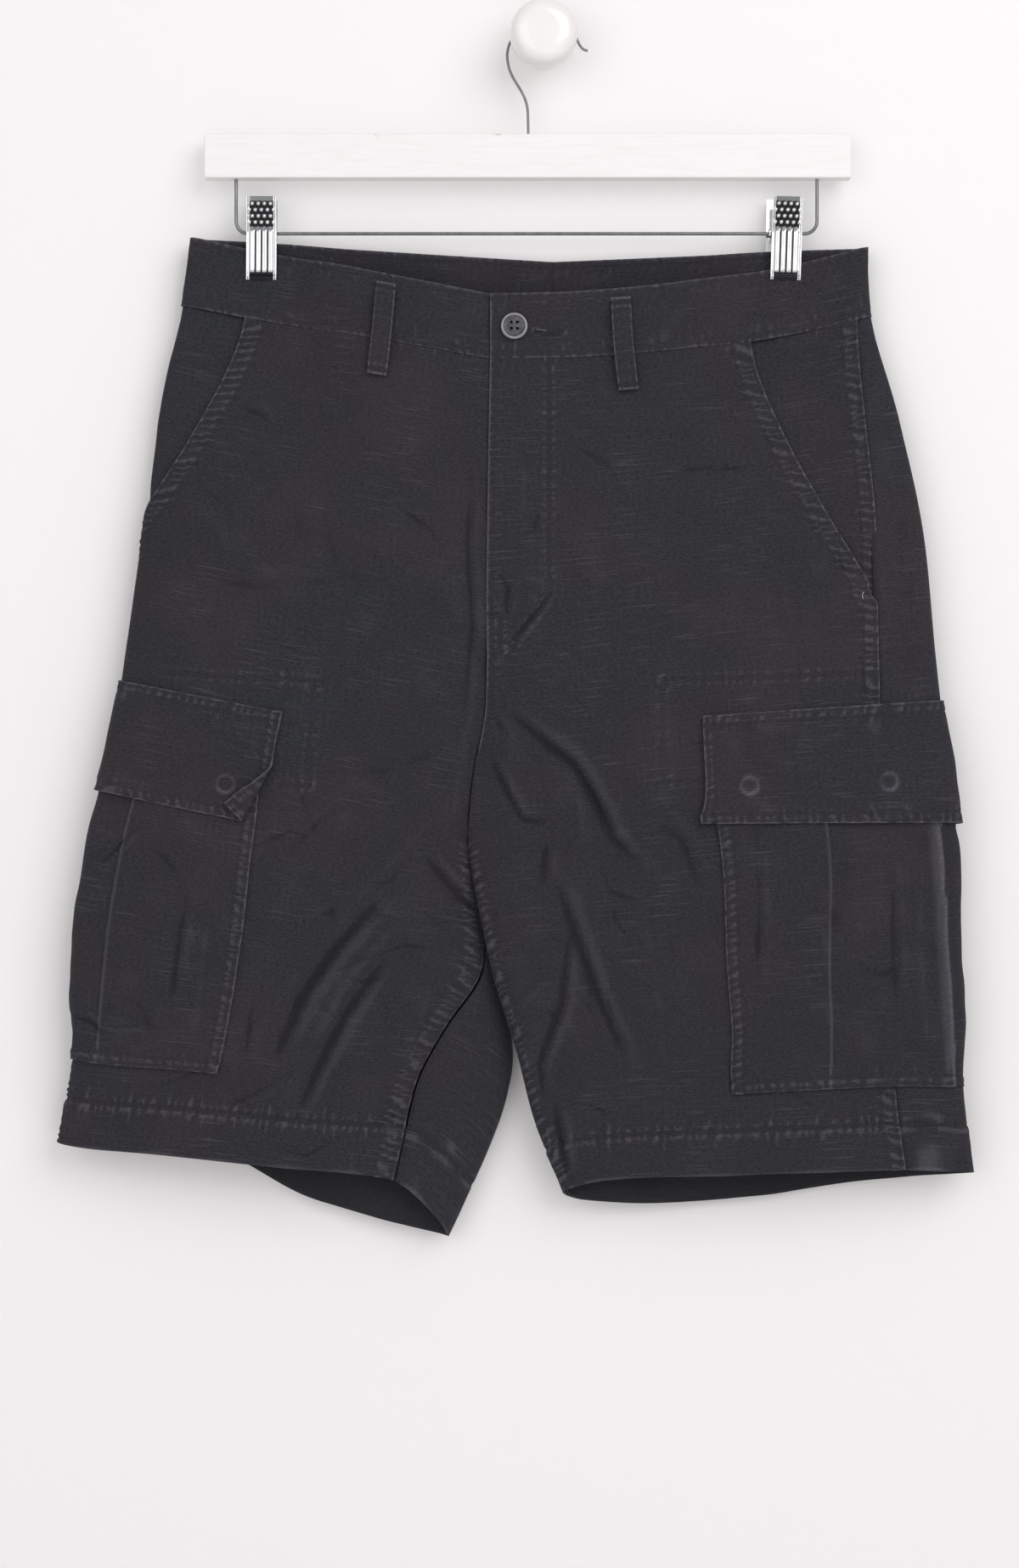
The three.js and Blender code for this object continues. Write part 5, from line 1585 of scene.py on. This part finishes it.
class SHORTS_OT_loops(Operator):
    """Builds the five belt loops"""
    bl_idname = "shorts.loops"
    bl_label = "Belt loops"

    def execute(self, context):
        for hand, side in SIDES.items():
            for place in ("front", "back"):
                name = f"belt_carrier_{place}_{hand}"
                self.strip(name, side, LOOP_RINGS[place], [f"belt_loop_{place}_{hand}"], hand)
        self.strip("belt_carrier_centre_back", SIDES["right"], None, ["belt_loop_centre_back"], "right")
        return {"FINISHED"}

    def strip(self, name, side, rings, nodes, hand):
        columns, rows = 12, 44
        across = np.linspace(-LOOP_HALF_WIDTH, LOOP_HALF_WIDTH, columns + 1)[None, :]
        falls = np.linspace(LOOP_TOP, LOOP_BOTTOM, rows + 1)[:, None]
        across, falls = np.broadcast_arrays(across, falls)
        share = (falls - LOOP_TOP) / (LOOP_BOTTOM - LOOP_TOP)
        edge = LOOP_HALF_WIDTH - np.abs(across)
        seed = side["seed"] + len(name)
        relief = pucker(edge - 1.8, falls, seed, 0.2, 6, 5) + groove(edge - 1.8, 0.25, 0.9)
        ends = np.minimum(falls - LOOP_TOP, LOOP_BOTTOM - falls)
        relief = relief + groove(ends - 3.2, 0.5, 1.4) + 0.25 * np.exp(-((ends - 0.8) / 1.0) ** 2)
        lift = loop_lift(falls) + relief
        if rings is None:
            right, left = SIDES["right"], SIDES["left"]
            on_right = across < 0
            made = []
            for other in (right, left):
                ring = 2 - np.abs(across) / width_of(other, falls)
                made.append(bare_cloth(other, ring, falls) + outward(other, ring, falls) * lift[..., None])
            points = np.where(on_right[..., None], made[0], made[1])
            flip = True
        else:
            middle = lerp(*rings, share)
            beside = bare_cloth(side, middle + RING_STEP, falls) - bare_cloth(side, middle - RING_STEP, falls)
            ring = middle + across * 2 * RING_STEP / np.linalg.norm(beside, axis=-1)
            points = bare_cloth(side, ring, falls) + outward(side, ring, falls) * lift[..., None]
            flip = side["turn"] > 0
        # The loops at the back are pressed against the wall
        points[..., 1] = np.minimum(points[..., 1], LOOP_AT_WALL)
        wear_and_shade = 0.62 * np.exp(-(edge / 1.1) ** 2) + 0.6 * np.exp(-(ends / 1.2) ** 2)
        mesh = sheet_mesh(name, points, (across, falls), {"wear_and_shade": wear_and_hollow_shade(relief, wear_and_shade, times=1)}, flip)
        obj = thick_sheet(name, mesh, MATERIALS["canvas"], LOOP_CLOTH)
        declare(dress(obj, nodes))


class SHORTS_OT_fly(Operator):
    """Builds the fly shield behind the front opening"""
    bl_idname = "shorts.fly"
    bl_label = "Fly shield"

    def execute(self, context):
        columns, rows = 24, 90
        falls = np.linspace(BAND_TOP + 3, FLY_END - 6, rows + 1)[:, None]
        share = np.linspace(-1, 1, columns + 1)[None, :]
        share, falls = np.broadcast_arrays(share, falls)
        lift = -(BAND_CLOTH + LAYER_GAP)
        made = []
        for hand, reach in (("right", 0.08), ("left", 0.14)):
            side = SIDES[hand]
            ring = np.maximum(np.abs(share) * reach, 0.003)
            made.append(bare_cloth(side, ring, falls) + outward(side, ring, falls) * lift)
        points = np.where((share < 0)[..., None], made[0], made[1])
        weave = (points[..., 0], points[..., 2])
        mesh = sheet_mesh("fly_lining", points, weave, {"wear_and_shade": np.zeros_like(share)}, False)
        obj = thick_sheet("fly_lining", mesh, MATERIALS["inside"], LINING_CLOTH)
        declare(dress(obj, ["fly_shield"]))
        return {"FINISHED"}


class SHORTS_OT_stitching(Operator):
    """Sews the rows of thread, the bars and the buttonhole"""
    bl_idname = "shorts.stitching"
    bl_label = "Stitching"

    def execute(self, context):
        settings = context.scene.shorts
        for hand in SIDES:
            stitch_rows(f"stitching_{hand}", self.routes(hand), MATERIALS["thread"], settings)
        left = SIDES["left"]
        band = SURFACES["band_left"]
        bar = {"across": True, "pitch": 0.7, "length": 1.3, "radius": 0.28}
        lips = [
            view_route(left, band, [(x, z + beside) for x, z in BUTTONHOLE], **bar)
            for beside in (-1.3, 1.3)
        ]
        stitch_rows("buttonhole_stitching", lips, MATERIALS["thread"], settings)
        frayed = [
            view_route(left, SURFACES["front_left"], FRAYED_BAR, pitch=1.2, length=1.7, radius=0.3),
            view_route(left, band, FRAYED_SLIT, pitch=1.6, length=1.4, radius=0.2, depth=-0.5),
        ]
        stitch_rows("frayed_bartack", frayed, MATERIALS["frayed"], settings)
        return {"FINISHED"}

    def routes(self, hand):
        """The rows of thread on one leg and its half of the waistband"""
        side = SIDES[hand]
        pieces = ("front", "back", "band", "facing", "pocket", "flap", "hem")
        front, back, band, facing, pocket, flap, hem = (SURFACES[f"{piece}_{hand}"] for piece in pieces)
        slant, felled, inseam = BAND_WIDTH["slant"], BAND_WIDTH["side"], BAND_WIDTH["inseam"]
        mouth, foot = FLAP_BOTTOM - 12, POCKET_BOTTOM - 2
        routes = [
            level_route(band, BAND_TOP + 3.2, 0.01, 1.99),
            level_route(band, BAND_TOP + 3.2, 1.1, 1.99, outside=-1, depth=-BAND_CLOTH - 0.1),
            level_route(band, -2.2, 0.01, 0.99),
            level_route(band, -2.2, 1.01, 1.99, outside=1),
            upright_route(side, front, "slant", -2.0, 4, SLANT_END - 2),
            upright_route(side, front, "slant", -slant + 0.5, 4, SLANT_END + 2),
            level_route(front, HEM_STITCH, 0.24, 0.985),
            level_route(back, HEM_STITCH, 1.06, 1.94, outside=1),
            level_route(hem, HEM_STITCH + 1.2, 1.06, 1.94, outside=-1, depth=-LINING_CLOTH - 0.1),
        ]
        for name, offset in (("pocket", 1.8), ("pocket", 7.5), ("pleat", -2.4)):
            routes.append(upright_route(side, pocket, name, offset, mouth, foot))
        for offset in (1.8, 7.2):
            routes.append(upright_route(side, flap, "flap", offset, FLAP_TOP + 1, FLAP_BOTTOM - 2))
        flap_start = float(line(side, "flap", 300.0)) + 0.004
        pocket_start = float(line(side, "pocket", 490.0)) + 0.004
        end = min(side["pocket_back"] - 0.01, 1)
        for fall in (FLAP_TOP + 1.8, FLAP_TOP + 6.5, FLAP_BOTTOM - 6):
            routes.append(level_route(flap, fall, flap_start, end))
        for fall in (POCKET_BOTTOM - 1.8, POCKET_BOTTOM - 7.5):
            routes.append(level_route(pocket, fall, pocket_start, end))
        for offset in (1.8, inseam - 0.5):
            routes.append(upright_route(side, front, "inseam", offset, INSEAM_START[hand], HEM - 2))
        for outline in PATCH_OUTLINES[hand]:
            routes.append(view_route(side, front, outline))
        if hand == "right":
            return routes
        routes.append(upright_route(side, facing, "side", -1.8, 3, SLANT_END - 4))
        routes.append(upright_route(side, facing, "side", -felled + 0.5, 3, SLANT_END - 8))
        for start, end in ((SLANT_END + 4, FLAP_TOP), (POCKET_BOTTOM + 1, HEM - 2)):
            for offset in (-1.8, -felled + 0.5):
                routes.append(upright_route(side, front, "side", offset, start, end))
        routes += [view_route(side, front, FLY_CURVE), view_route(side, front, FLY_BOX)]
        for places, pitch, length in FLY_BARS:
            routes.append(view_route(side, front, places, across=True, pitch=pitch, length=length))
        for offset in (-1.8, -8.5):
            routes.append(upright_route(side, back, 2, offset, 2, CROTCH - 14, outside=1))
        return routes


# The turned profiles of the button and the knob, as radius and height in millimetres
BUTTON_PROFILE = (
    (0, 0), (6.6, 0), (7.6, 0.3), (8.3, 1.0), (8.5, 1.8), (8.35, 2.5), (7.9, 2.95), (7.3, 3.0),
    (6.8, 2.75), (6.45, 2.25), (6.0, 2.0), (4.5, 1.9), (3.2, 2.05), (0, 2.1),
)
KNOB_PROFILE = (
    (0, 0), (15, 0), (15, 1.5), (14.2, 2.6), (12.6, 4.2), (12.1, 6), (12.1, 18), (12.6, 21),
    (14.5, 22.6), (18.6, 23.2), (20.6, 25), (21.4, 28), (21.6, 32), (21.4, 36), (20.6, 39),
    (19.2, 41.5), (16.6, 43.6), (13.2, 44.7), (9, 45), (0, 45),
)
BUTTON_RING = 0.062
BUTTON_FALL = -19
BUTTON_RADIUS = 8.5
BUTTON_HOLE = 0.95
# Places of the holes across and up from the middle, and how much wider they are spaced
BUTTON_HOLE_PLACES = ((-1.75, 2.3), (1.85, 2.3), (-1.75, -1.6), (1.85, -1.6))
HOLE_SPACING = 1.05


def spun(name, profile, segments, axis, place, material):
    """A turned solid from a profile in millimetres along an axis"""
    bm = bmesh.new()
    corners = [bm.verts.new((radius * MILLIMETRE, 0, height * MILLIMETRE)) for radius, height in profile]
    edges = [bm.edges.new(pair) for pair in zip(corners[:-1], corners[1:])]
    bmesh.ops.spin(
        bm, geom=corners + edges, cent=(0, 0, 0), axis=(0, 0, 1), angle=2 * math.pi, steps=segments,
        use_merge=True,
    )
    bmesh.ops.remove_doubles(bm, verts=bm.verts, dist=1e-6)
    bmesh.ops.recalc_face_normals(bm, faces=bm.faces)
    turn = Vector(axis).to_track_quat("Z", "Y").to_matrix().to_4x4()
    bmesh.ops.transform(bm, matrix=Matrix.Translation(place) @ turn, verts=bm.verts)
    mesh = bpy.data.meshes.new(name)
    bm.to_mesh(mesh)
    bm.free()
    mesh.shade_smooth()
    return join_scene(name, mesh, material)


def applied(obj):
    """The object's mesh with its modifiers applied"""
    graph = bpy.context.evaluated_depsgraph_get()
    mesh = bpy.data.meshes.new_from_object(obj.evaluated_get(graph))
    obj.modifiers.clear()
    old = obj.data
    obj.data = mesh
    bpy.data.meshes.remove(old)
    return obj


class SHORTS_OT_button(Operator):
    """Turns the waist button and bores its four holes"""
    bl_idname = "shorts.button"
    bl_label = "Waist button"

    def execute(self, context):
        side = SIDES["left"]
        ring, fall = np.array(BUTTON_RING), np.array(float(BUTTON_FALL))
        out = outward(side, ring, fall)
        lift = 1.2 + SEAM_GAP + 0.6
        seat = (bare_cloth(side, ring, fall) + out * lift) * MILLIMETRE
        material = horn_button(BUTTON_RADIUS * MILLIMETRE, tuple(seat + out * 2 * MILLIMETRE))
        button = spun("four_hole_button", BUTTON_PROFILE, 64, out, seat, material)
        bm = bmesh.new()
        turn = Vector(out).to_track_quat("Z", "Y").to_matrix().to_4x4()
        for across, up in BUTTON_HOLE_PLACES:
            offset = Vector((across * HOLE_SPACING, 0, up * HOLE_SPACING)) * MILLIMETRE
            radius = BUTTON_HOLE * MILLIMETRE
            bmesh.ops.create_cone(
                bm, cap_ends=True, segments=20, radius1=radius, radius2=radius, depth=12 * MILLIMETRE,
                matrix=Matrix.Translation(Vector(seat) + offset) @ turn,
            )
        drill_mesh = bpy.data.meshes.new("drill")
        bm.to_mesh(drill_mesh)
        bm.free()
        drill = bpy.data.objects.new("drill", drill_mesh)
        context.scene.collection.objects.link(drill)
        cut = button.modifiers.new("holes", "BOOLEAN")
        cut.object = drill
        cut.operation = "DIFFERENCE"
        cut.solver = "EXACT"
        applied(button)
        bpy.data.objects.remove(drill)
        dress(button, ["waist_button"])
        return {"FINISHED"}


WIRE_RADIUS = 1.1
HOOK_RADIUS = 0.85
BAR_TOP = -61
BAR_BOTTOM = -89.2
BAR_LEFT = -217
BAR_RIGHT = 197
BAR_FRONT = -20
BAR_BACK = -8
BAR_EASED = 0.9
HOOK_FOOT = -9.6
HOOK_BEND = ((0, -50), (-0.6, -41), (-4, -33), (-9, -25.5), (-12.4, -18.5))
HOOK_CENTRE = (1.3, -10.9)
HOOK_ARC = 24.5
HOOK_TIP = ((21.2, 1.8), (23.4, -3.2), (26.2, -6.4), (28.6, -6.6))
RAIL_LEFT = -197
RAIL_RIGHT = 175.7
RAIL_Z = -124
RAIL_CORNER = 8


def tube(name, places, radius, material, smooth=True):
    """A round wire along (x, z) places in the plane of the clips"""
    curve = bpy.data.curves.new(name, "CURVE")
    curve.dimensions = "3D"
    curve.bevel_depth = radius * MILLIMETRE
    curve.bevel_resolution = 5
    curve.use_fill_caps = True
    curve.resolution_u = 6
    spline = curve.splines.new("NURBS" if smooth else "POLY")
    spline.points.add(len(places) - 1)
    for point, (x, z) in zip(spline.points, places):
        point.co = (x * MILLIMETRE, CLIP_PLANE * MILLIMETRE, z * MILLIMETRE, 1)
    if smooth:
        spline.use_endpoint_u = True
        spline.order_u = 3
    holder = bpy.data.objects.new(name, curve)
    bpy.context.scene.collection.objects.link(holder)
    graph = bpy.context.evaluated_depsgraph_get()
    mesh = bpy.data.meshes.new_from_object(holder.evaluated_get(graph))
    bpy.data.objects.remove(holder)
    mesh.name = name
    mesh.materials.clear()
    mesh.shade_smooth()
    return join_scene(name, mesh, material)


def arc(centre, radius, start, end, steps):
    return [
        (centre[0] + radius * math.cos(math.radians(a)), centre[1] + radius * math.sin(math.radians(a)))
        for a in np.linspace(start, end, steps + 1)
    ]


# The pressed face of a clip
CLIP_COLUMNS = 56
CLIP_ROWS = 150
RIB_PITCH = 3.9
BUMPS_FROM = 2.6


class SHORTS_OT_hanger(Operator):
    """Builds the hanger's wires and knob, and finishes its bar and clips"""
    bl_idname = "shorts.hanger"
    bl_label = "Hanger, clips and knob"

    def execute(self, context):
        route = [(HOOK_FOOT, BAR_TOP - 0.3)] + [(HOOK_FOOT + aside, z) for aside, z in HOOK_BEND]
        route += arc(HOOK_CENTRE, HOOK_ARC, 180, 40, 18) + list(HOOK_TIP)
        dress(tube("hook_wire", route, HOOK_RADIUS, MATERIALS["steel"]), ["hanger_hook"])
        corner = RAIL_CORNER
        route = [(RAIL_LEFT, BAR_BOTTOM + 0.5)]
        route += arc((RAIL_LEFT + corner, RAIL_Z + corner), corner, 180, 270, 10)
        route += arc((RAIL_RIGHT - corner, RAIL_Z + corner), corner, 270, 360, 10)
        route += [(RAIL_RIGHT, BAR_BOTTOM + 0.5)]
        dress(tube("clip_rail", route, WIRE_RADIUS, MATERIALS["steel"], smooth=False), ["clip_wire"])
        self.knob()
        for hand, tilt in (("right", 0.4), ("left", 1.8)):
            self.clip_face(hand, tilt)
        self.bar()
        for name in ("clip_right_back", "clip_left_back"):
            obj = bpy.data.objects[name]
            obj.data.materials.clear()
            obj.data.materials.append(MATERIALS["chrome"])
        return {"FINISHED"}

    def bar(self):
        """A planed bar with eased edges"""
        low = Vector((BAR_LEFT, BAR_FRONT, BAR_BOTTOM)) * MILLIMETRE
        high = Vector((BAR_RIGHT, BAR_BACK, BAR_TOP)) * MILLIMETRE
        bm = bmesh.new()
        bmesh.ops.create_cube(bm, size=1)
        bmesh.ops.scale(bm, vec=high - low, verts=bm.verts)
        bmesh.ops.translate(bm, vec=(low + high) / 2, verts=bm.verts)
        bmesh.ops.bevel(
            bm, geom=bm.edges[:], offset=BAR_EASED * MILLIMETRE, segments=3, profile=0.5, affect="EDGES"
        )
        mesh = bpy.data.meshes.new("painted_bar")
        bm.to_mesh(mesh)
        bm.free()
        mesh.shade_flat()
        dress(join_scene("painted_bar", mesh, MATERIALS["wood"]), ["hanger_bar"])

    def knob(self):
        knob = spun("peg_knob", KNOB_PROFILE, 96, (0, -1, 0), (0, 0, 0), MATERIALS["enamel"])
        dress(knob, ["wall_knob"])

    def clip_face(self, hand, tilt):
        """A pressed jaw: rows of round bumps over four ribs, with flanged sides and two ears"""
        side = SIDES[hand]
        name = f"clip_face_{hand}"
        across = np.linspace(-CLIP_WIDTH / 2, CLIP_WIDTH / 2, CLIP_COLUMNS + 1)[None, :]
        down = np.linspace(0, CLIP_HEIGHT, CLIP_ROWS + 1)[:, None]
        across, down = np.broadcast_arrays(across, down)
        edge = CLIP_WIDTH / 2 - np.abs(across)
        ribs = np.abs(np.sin(math.pi * (across + 2 * RIB_PITCH) / RIB_PITCH)) ** 0.55
        bump_rows = within(down, 2.5, 4, 18, 20)
        rib_rows = within(down, 20, 22.5, 46.5, 49)
        bump_row = (down - BUMPS_FROM) / RIB_PITCH
        stagger = np.where(np.floor(bump_row) % 2 == 0, 0, RIB_PITCH / 2)
        bumps = (np.sin(math.pi * (across + stagger) / RIB_PITCH) * np.sin(math.pi * bump_row)) ** 2
        inside = ease(edge, 1.4, 2.4)
        relief = inside * (1.25 * bump_rows * bumps + 1.1 * rib_rows * ribs)
        shine = bump_rows * ease(bumps, 0.25, 0.6) + rib_rows * ease(ribs, 0.45, 0.75)
        flat_face = (1 - ease(down, 46.5, 48)) * (1 - bump_rows) * (1 - rib_rows)
        # Painted shade and dark reflection: the hollows between bumps and ribs, most of the flat face and the
        # groove below the ribs are darkened
        painted_hollow_shade = inside * np.clip(1 - shine - 0.3 * flat_face, 0, 1)
        painted_hollow_shade = np.maximum(painted_hollow_shade, 0.8 * np.exp(-((down - 49) / 0.9) ** 2) * inside)
        relief = relief + 0.9 * (1 - ease(edge, 0.7, 1.6))
        relief = relief + 0.5 * np.exp(-((down - CLIP_HEIGHT + 2) / 1.0) ** 2)
        foot = -CLIP_HEIGHT * 0.572
        height = foot + CLIP_HEIGHT - down
        grip = PRESSED + 0.6
        lean = np.where(
            height > 0, lerp(0.4, 3.4, np.clip(height / (foot + CLIP_HEIGHT), 0, 1)),
            lerp(0, 0.4, np.clip((height - foot) / -foot, 0, 1)),
        )
        # The sheet's face stands on the CAD jaw's face, its pressings a little proud of it
        out = grip + lean + 1.0
        angle = math.radians(tilt)
        x = side["clip_x"] + across * math.cos(angle) + height * math.sin(angle)
        z = RAIL_Z - across * math.sin(angle) + height * math.cos(angle)
        y = CLIP_PLANE - out - relief + 0.35
        points = np.stack([x, y, z], axis=-1)
        mesh, column, row = grid_mesh(name, CLIP_COLUMNS, CLIP_ROWS)
        mesh.vertices.foreach_set("co", (points[row, column] * MILLIMETRE).ravel())
        bm = bmesh.new()
        bm.from_mesh(mesh)
        bmesh.ops.recalc_face_normals(bm, faces=bm.faces)
        bm.faces.ensure_lookup_table()
        hollow_shade = bm.verts.layers.float.new("painted_hollow_shade")
        bm.verts.ensure_lookup_table()
        for vertex, value in zip(bm.verts, painted_hollow_shade[row, column]):
            vertex[hollow_shade] = value
        if bm.faces[0].normal.y > 0:
            bmesh.ops.reverse_faces(bm, faces=bm.faces)
        bmesh.ops.solidify(bm, geom=bm.faces[:], thickness=0.8 * MILLIMETRE)
        ear_matrix = Matrix.Rotation(angle, 4, "Y")
        centre = Vector((side["clip_x"], CLIP_PLANE, RAIL_Z)) * MILLIMETRE
        for end in (-1, 1):
            start = Matrix.Translation(centre) @ ear_matrix @ Matrix.Translation(
                (end * (CLIP_WIDTH / 2 - 0.8) * MILLIMETRE, -1.2 * MILLIMETRE, 0)
            )
            bmesh.ops.create_cone(
                bm, cap_ends=True, segments=28, radius1=3.2 * MILLIMETRE, radius2=3.2 * MILLIMETRE,
                depth=0.9 * MILLIMETRE, matrix=start @ Matrix.Rotation(math.pi / 2, 4, "Y"),
            )
        bm.to_mesh(mesh)
        bm.free()
        mesh.shade_smooth()
        face = join_scene(name, mesh, MATERIALS["chrome"])
        dress(face, [f"clip_{hand}_front"])


CAMERA_PLACE = (-0.0216, -2.0, -0.477)
FOCAL_PIXELS = 3644.8
IMAGE_HEIGHT = 1846
SENSOR = 36.0
# Square lights: name, place, aim, side in metres and watts
LIGHTS = (
    ("behind", (-0.9, 1.9, 0.5), (0, 0, -0.4), 1.4, 14),
    ("key", (1.2, -2.0, 0.8), (-0.05, 0, -0.45), 1.9, 25),
    ("fill", (-1.3, -2.5, 0.1), (0, 0, -0.45), 1.9, 13),
    ("low", (0.2, -2.4, -0.9), (0, 0, -0.5), 1.4, 4),
)


class SHORTS_OT_stage(Operator):
    """Adds the wall, the floor, the lights and the camera"""
    bl_idname = "shorts.stage"
    bl_label = "Stage, lights and camera"

    def execute(self, context):
        settings = context.scene.shorts
        scene = context.scene
        scene.view_settings.view_transform = "Standard"
        upright = Matrix.Rotation(math.pi / 2, 4, "X")
        wall = self.sheet_of("wall", (3.6, 2.6), Matrix.Translation((0, 0.0008, -0.1)) @ upright)
        wall.data.materials.append(self.one_sided(settings.wall_colour))
        floor = self.sheet_of("floor", (3.6, 3.6), Matrix.Translation((0, -1.0, -1.1)))
        material, tree, shader = new_material("matt_floor_paint")
        shader.inputs["Base Color"].default_value = settings.floor_colour
        shader.inputs["Roughness"].default_value = 0.9
        floor.data.materials.append(material)
        # Light from behind passes the wall, so that the garment's back isn't black in a view of it
        wall.visible_diffuse = False
        wall.visible_shadow = False
        for light in LIGHTS:
            self.light(*light)
        world = bpy.data.worlds.new("studio")
        world.use_nodes = True
        world.node_tree.nodes["Background"].inputs["Color"].default_value = linear("#f4f4f6")
        world.node_tree.nodes["Background"].inputs["Strength"].default_value = 0.58
        scene.world = world
        data = bpy.data.cameras.new("camera")
        data.lens = SENSOR * FOCAL_PIXELS / IMAGE_HEIGHT
        data.sensor_width = SENSOR
        camera = bpy.data.objects.new("camera", data)
        camera.location = CAMERA_PLACE
        camera.rotation_euler = (math.pi / 2, 0, 0)
        scene.collection.objects.link(camera)
        scene.camera = camera
        return {"FINISHED"}

    def sheet_of(self, name, size, matrix):
        bm = bmesh.new()
        bmesh.ops.create_grid(bm, x_segments=1, y_segments=1, size=0.5)
        bmesh.ops.scale(bm, vec=(size[0], size[1], 1), verts=bm.verts)
        bmesh.ops.transform(bm, matrix=matrix, verts=bm.verts)
        mesh = bpy.data.meshes.new(name)
        bm.to_mesh(mesh)
        bm.free()
        obj = bpy.data.objects.new(name, mesh)
        bpy.context.scene.collection.objects.link(obj)
        return obj

    def one_sided(self, colour):
        """Matt wall paint that can be seen through from behind, so that back views show the garment"""
        material, tree, shader = new_material("matt_wall_paint")
        shader.inputs["Base Color"].default_value = colour
        shader.inputs["Roughness"].default_value = 0.95
        shader.inputs["Specular IOR Level"].default_value = 0.1
        behind = node(tree, "ShaderNodeNewGeometry").outputs["Backfacing"]
        clear = node(tree, "ShaderNodeBsdfTransparent")
        links = {0: behind, 1: shader.outputs["BSDF"], 2: clear.outputs["BSDF"]}
        both = node(tree, "ShaderNodeMixShader", links=links)
        output = next(n for n in tree.nodes if n.type == "OUTPUT_MATERIAL")
        tree.links.new(both.outputs["Shader"], output.inputs["Surface"])
        return material

    def light(self, name, place, target, size, power):
        data = bpy.data.lights.new(name, "AREA")
        data.shape = "SQUARE"
        data.size = size
        data.energy = power
        lamp = bpy.data.objects.new(name, data)
        lamp.location = place
        aim = Vector(target) - Vector(place)
        lamp.rotation_euler = aim.to_track_quat("-Z", "Y").to_euler()
        bpy.context.scene.collection.objects.link(lamp)


class SHORTS_PT_sidebar(Panel):
    """Shows the settings and a button for each building step"""
    bl_idname = "SHORTS_PT_sidebar"
    bl_label = "Cargo shorts"
    bl_space_type = "VIEW_3D"
    bl_region_type = "UI"
    bl_category = "Shorts"

    def draw(self, context):
        for name in ShortsSettings.__annotations__:
            self.layout.prop(context.scene.shorts, name)
        for operator in OPERATORS:
            self.layout.operator(operator.bl_idname)


OPERATORS = (
    SHORTS_OT_panels, SHORTS_OT_waistband, SHORTS_OT_pockets, SHORTS_OT_hems, SHORTS_OT_loops, SHORTS_OT_fly,
    SHORTS_OT_stitching, SHORTS_OT_button, SHORTS_OT_hanger, SHORTS_OT_stage,
)
CLASSES = (ShortsSettings, *OPERATORS, SHORTS_PT_sidebar)


def register():
    for kind in CLASSES:
        bpy.utils.register_class(kind)
    bpy.types.Scene.shorts = PointerProperty(type=ShortsSettings)


def unregister():
    del bpy.types.Scene.shorts
    for kind in reversed(CLASSES):
        bpy.utils.unregister_class(kind)


def main():
    register()
    make_materials(bpy.context.scene.shorts)
    for operator in OPERATORS:
        group, name = operator.bl_idname.split(".")
        getattr(getattr(bpy.ops, group), name)()
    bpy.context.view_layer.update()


if __name__ == "__main__":
    main()
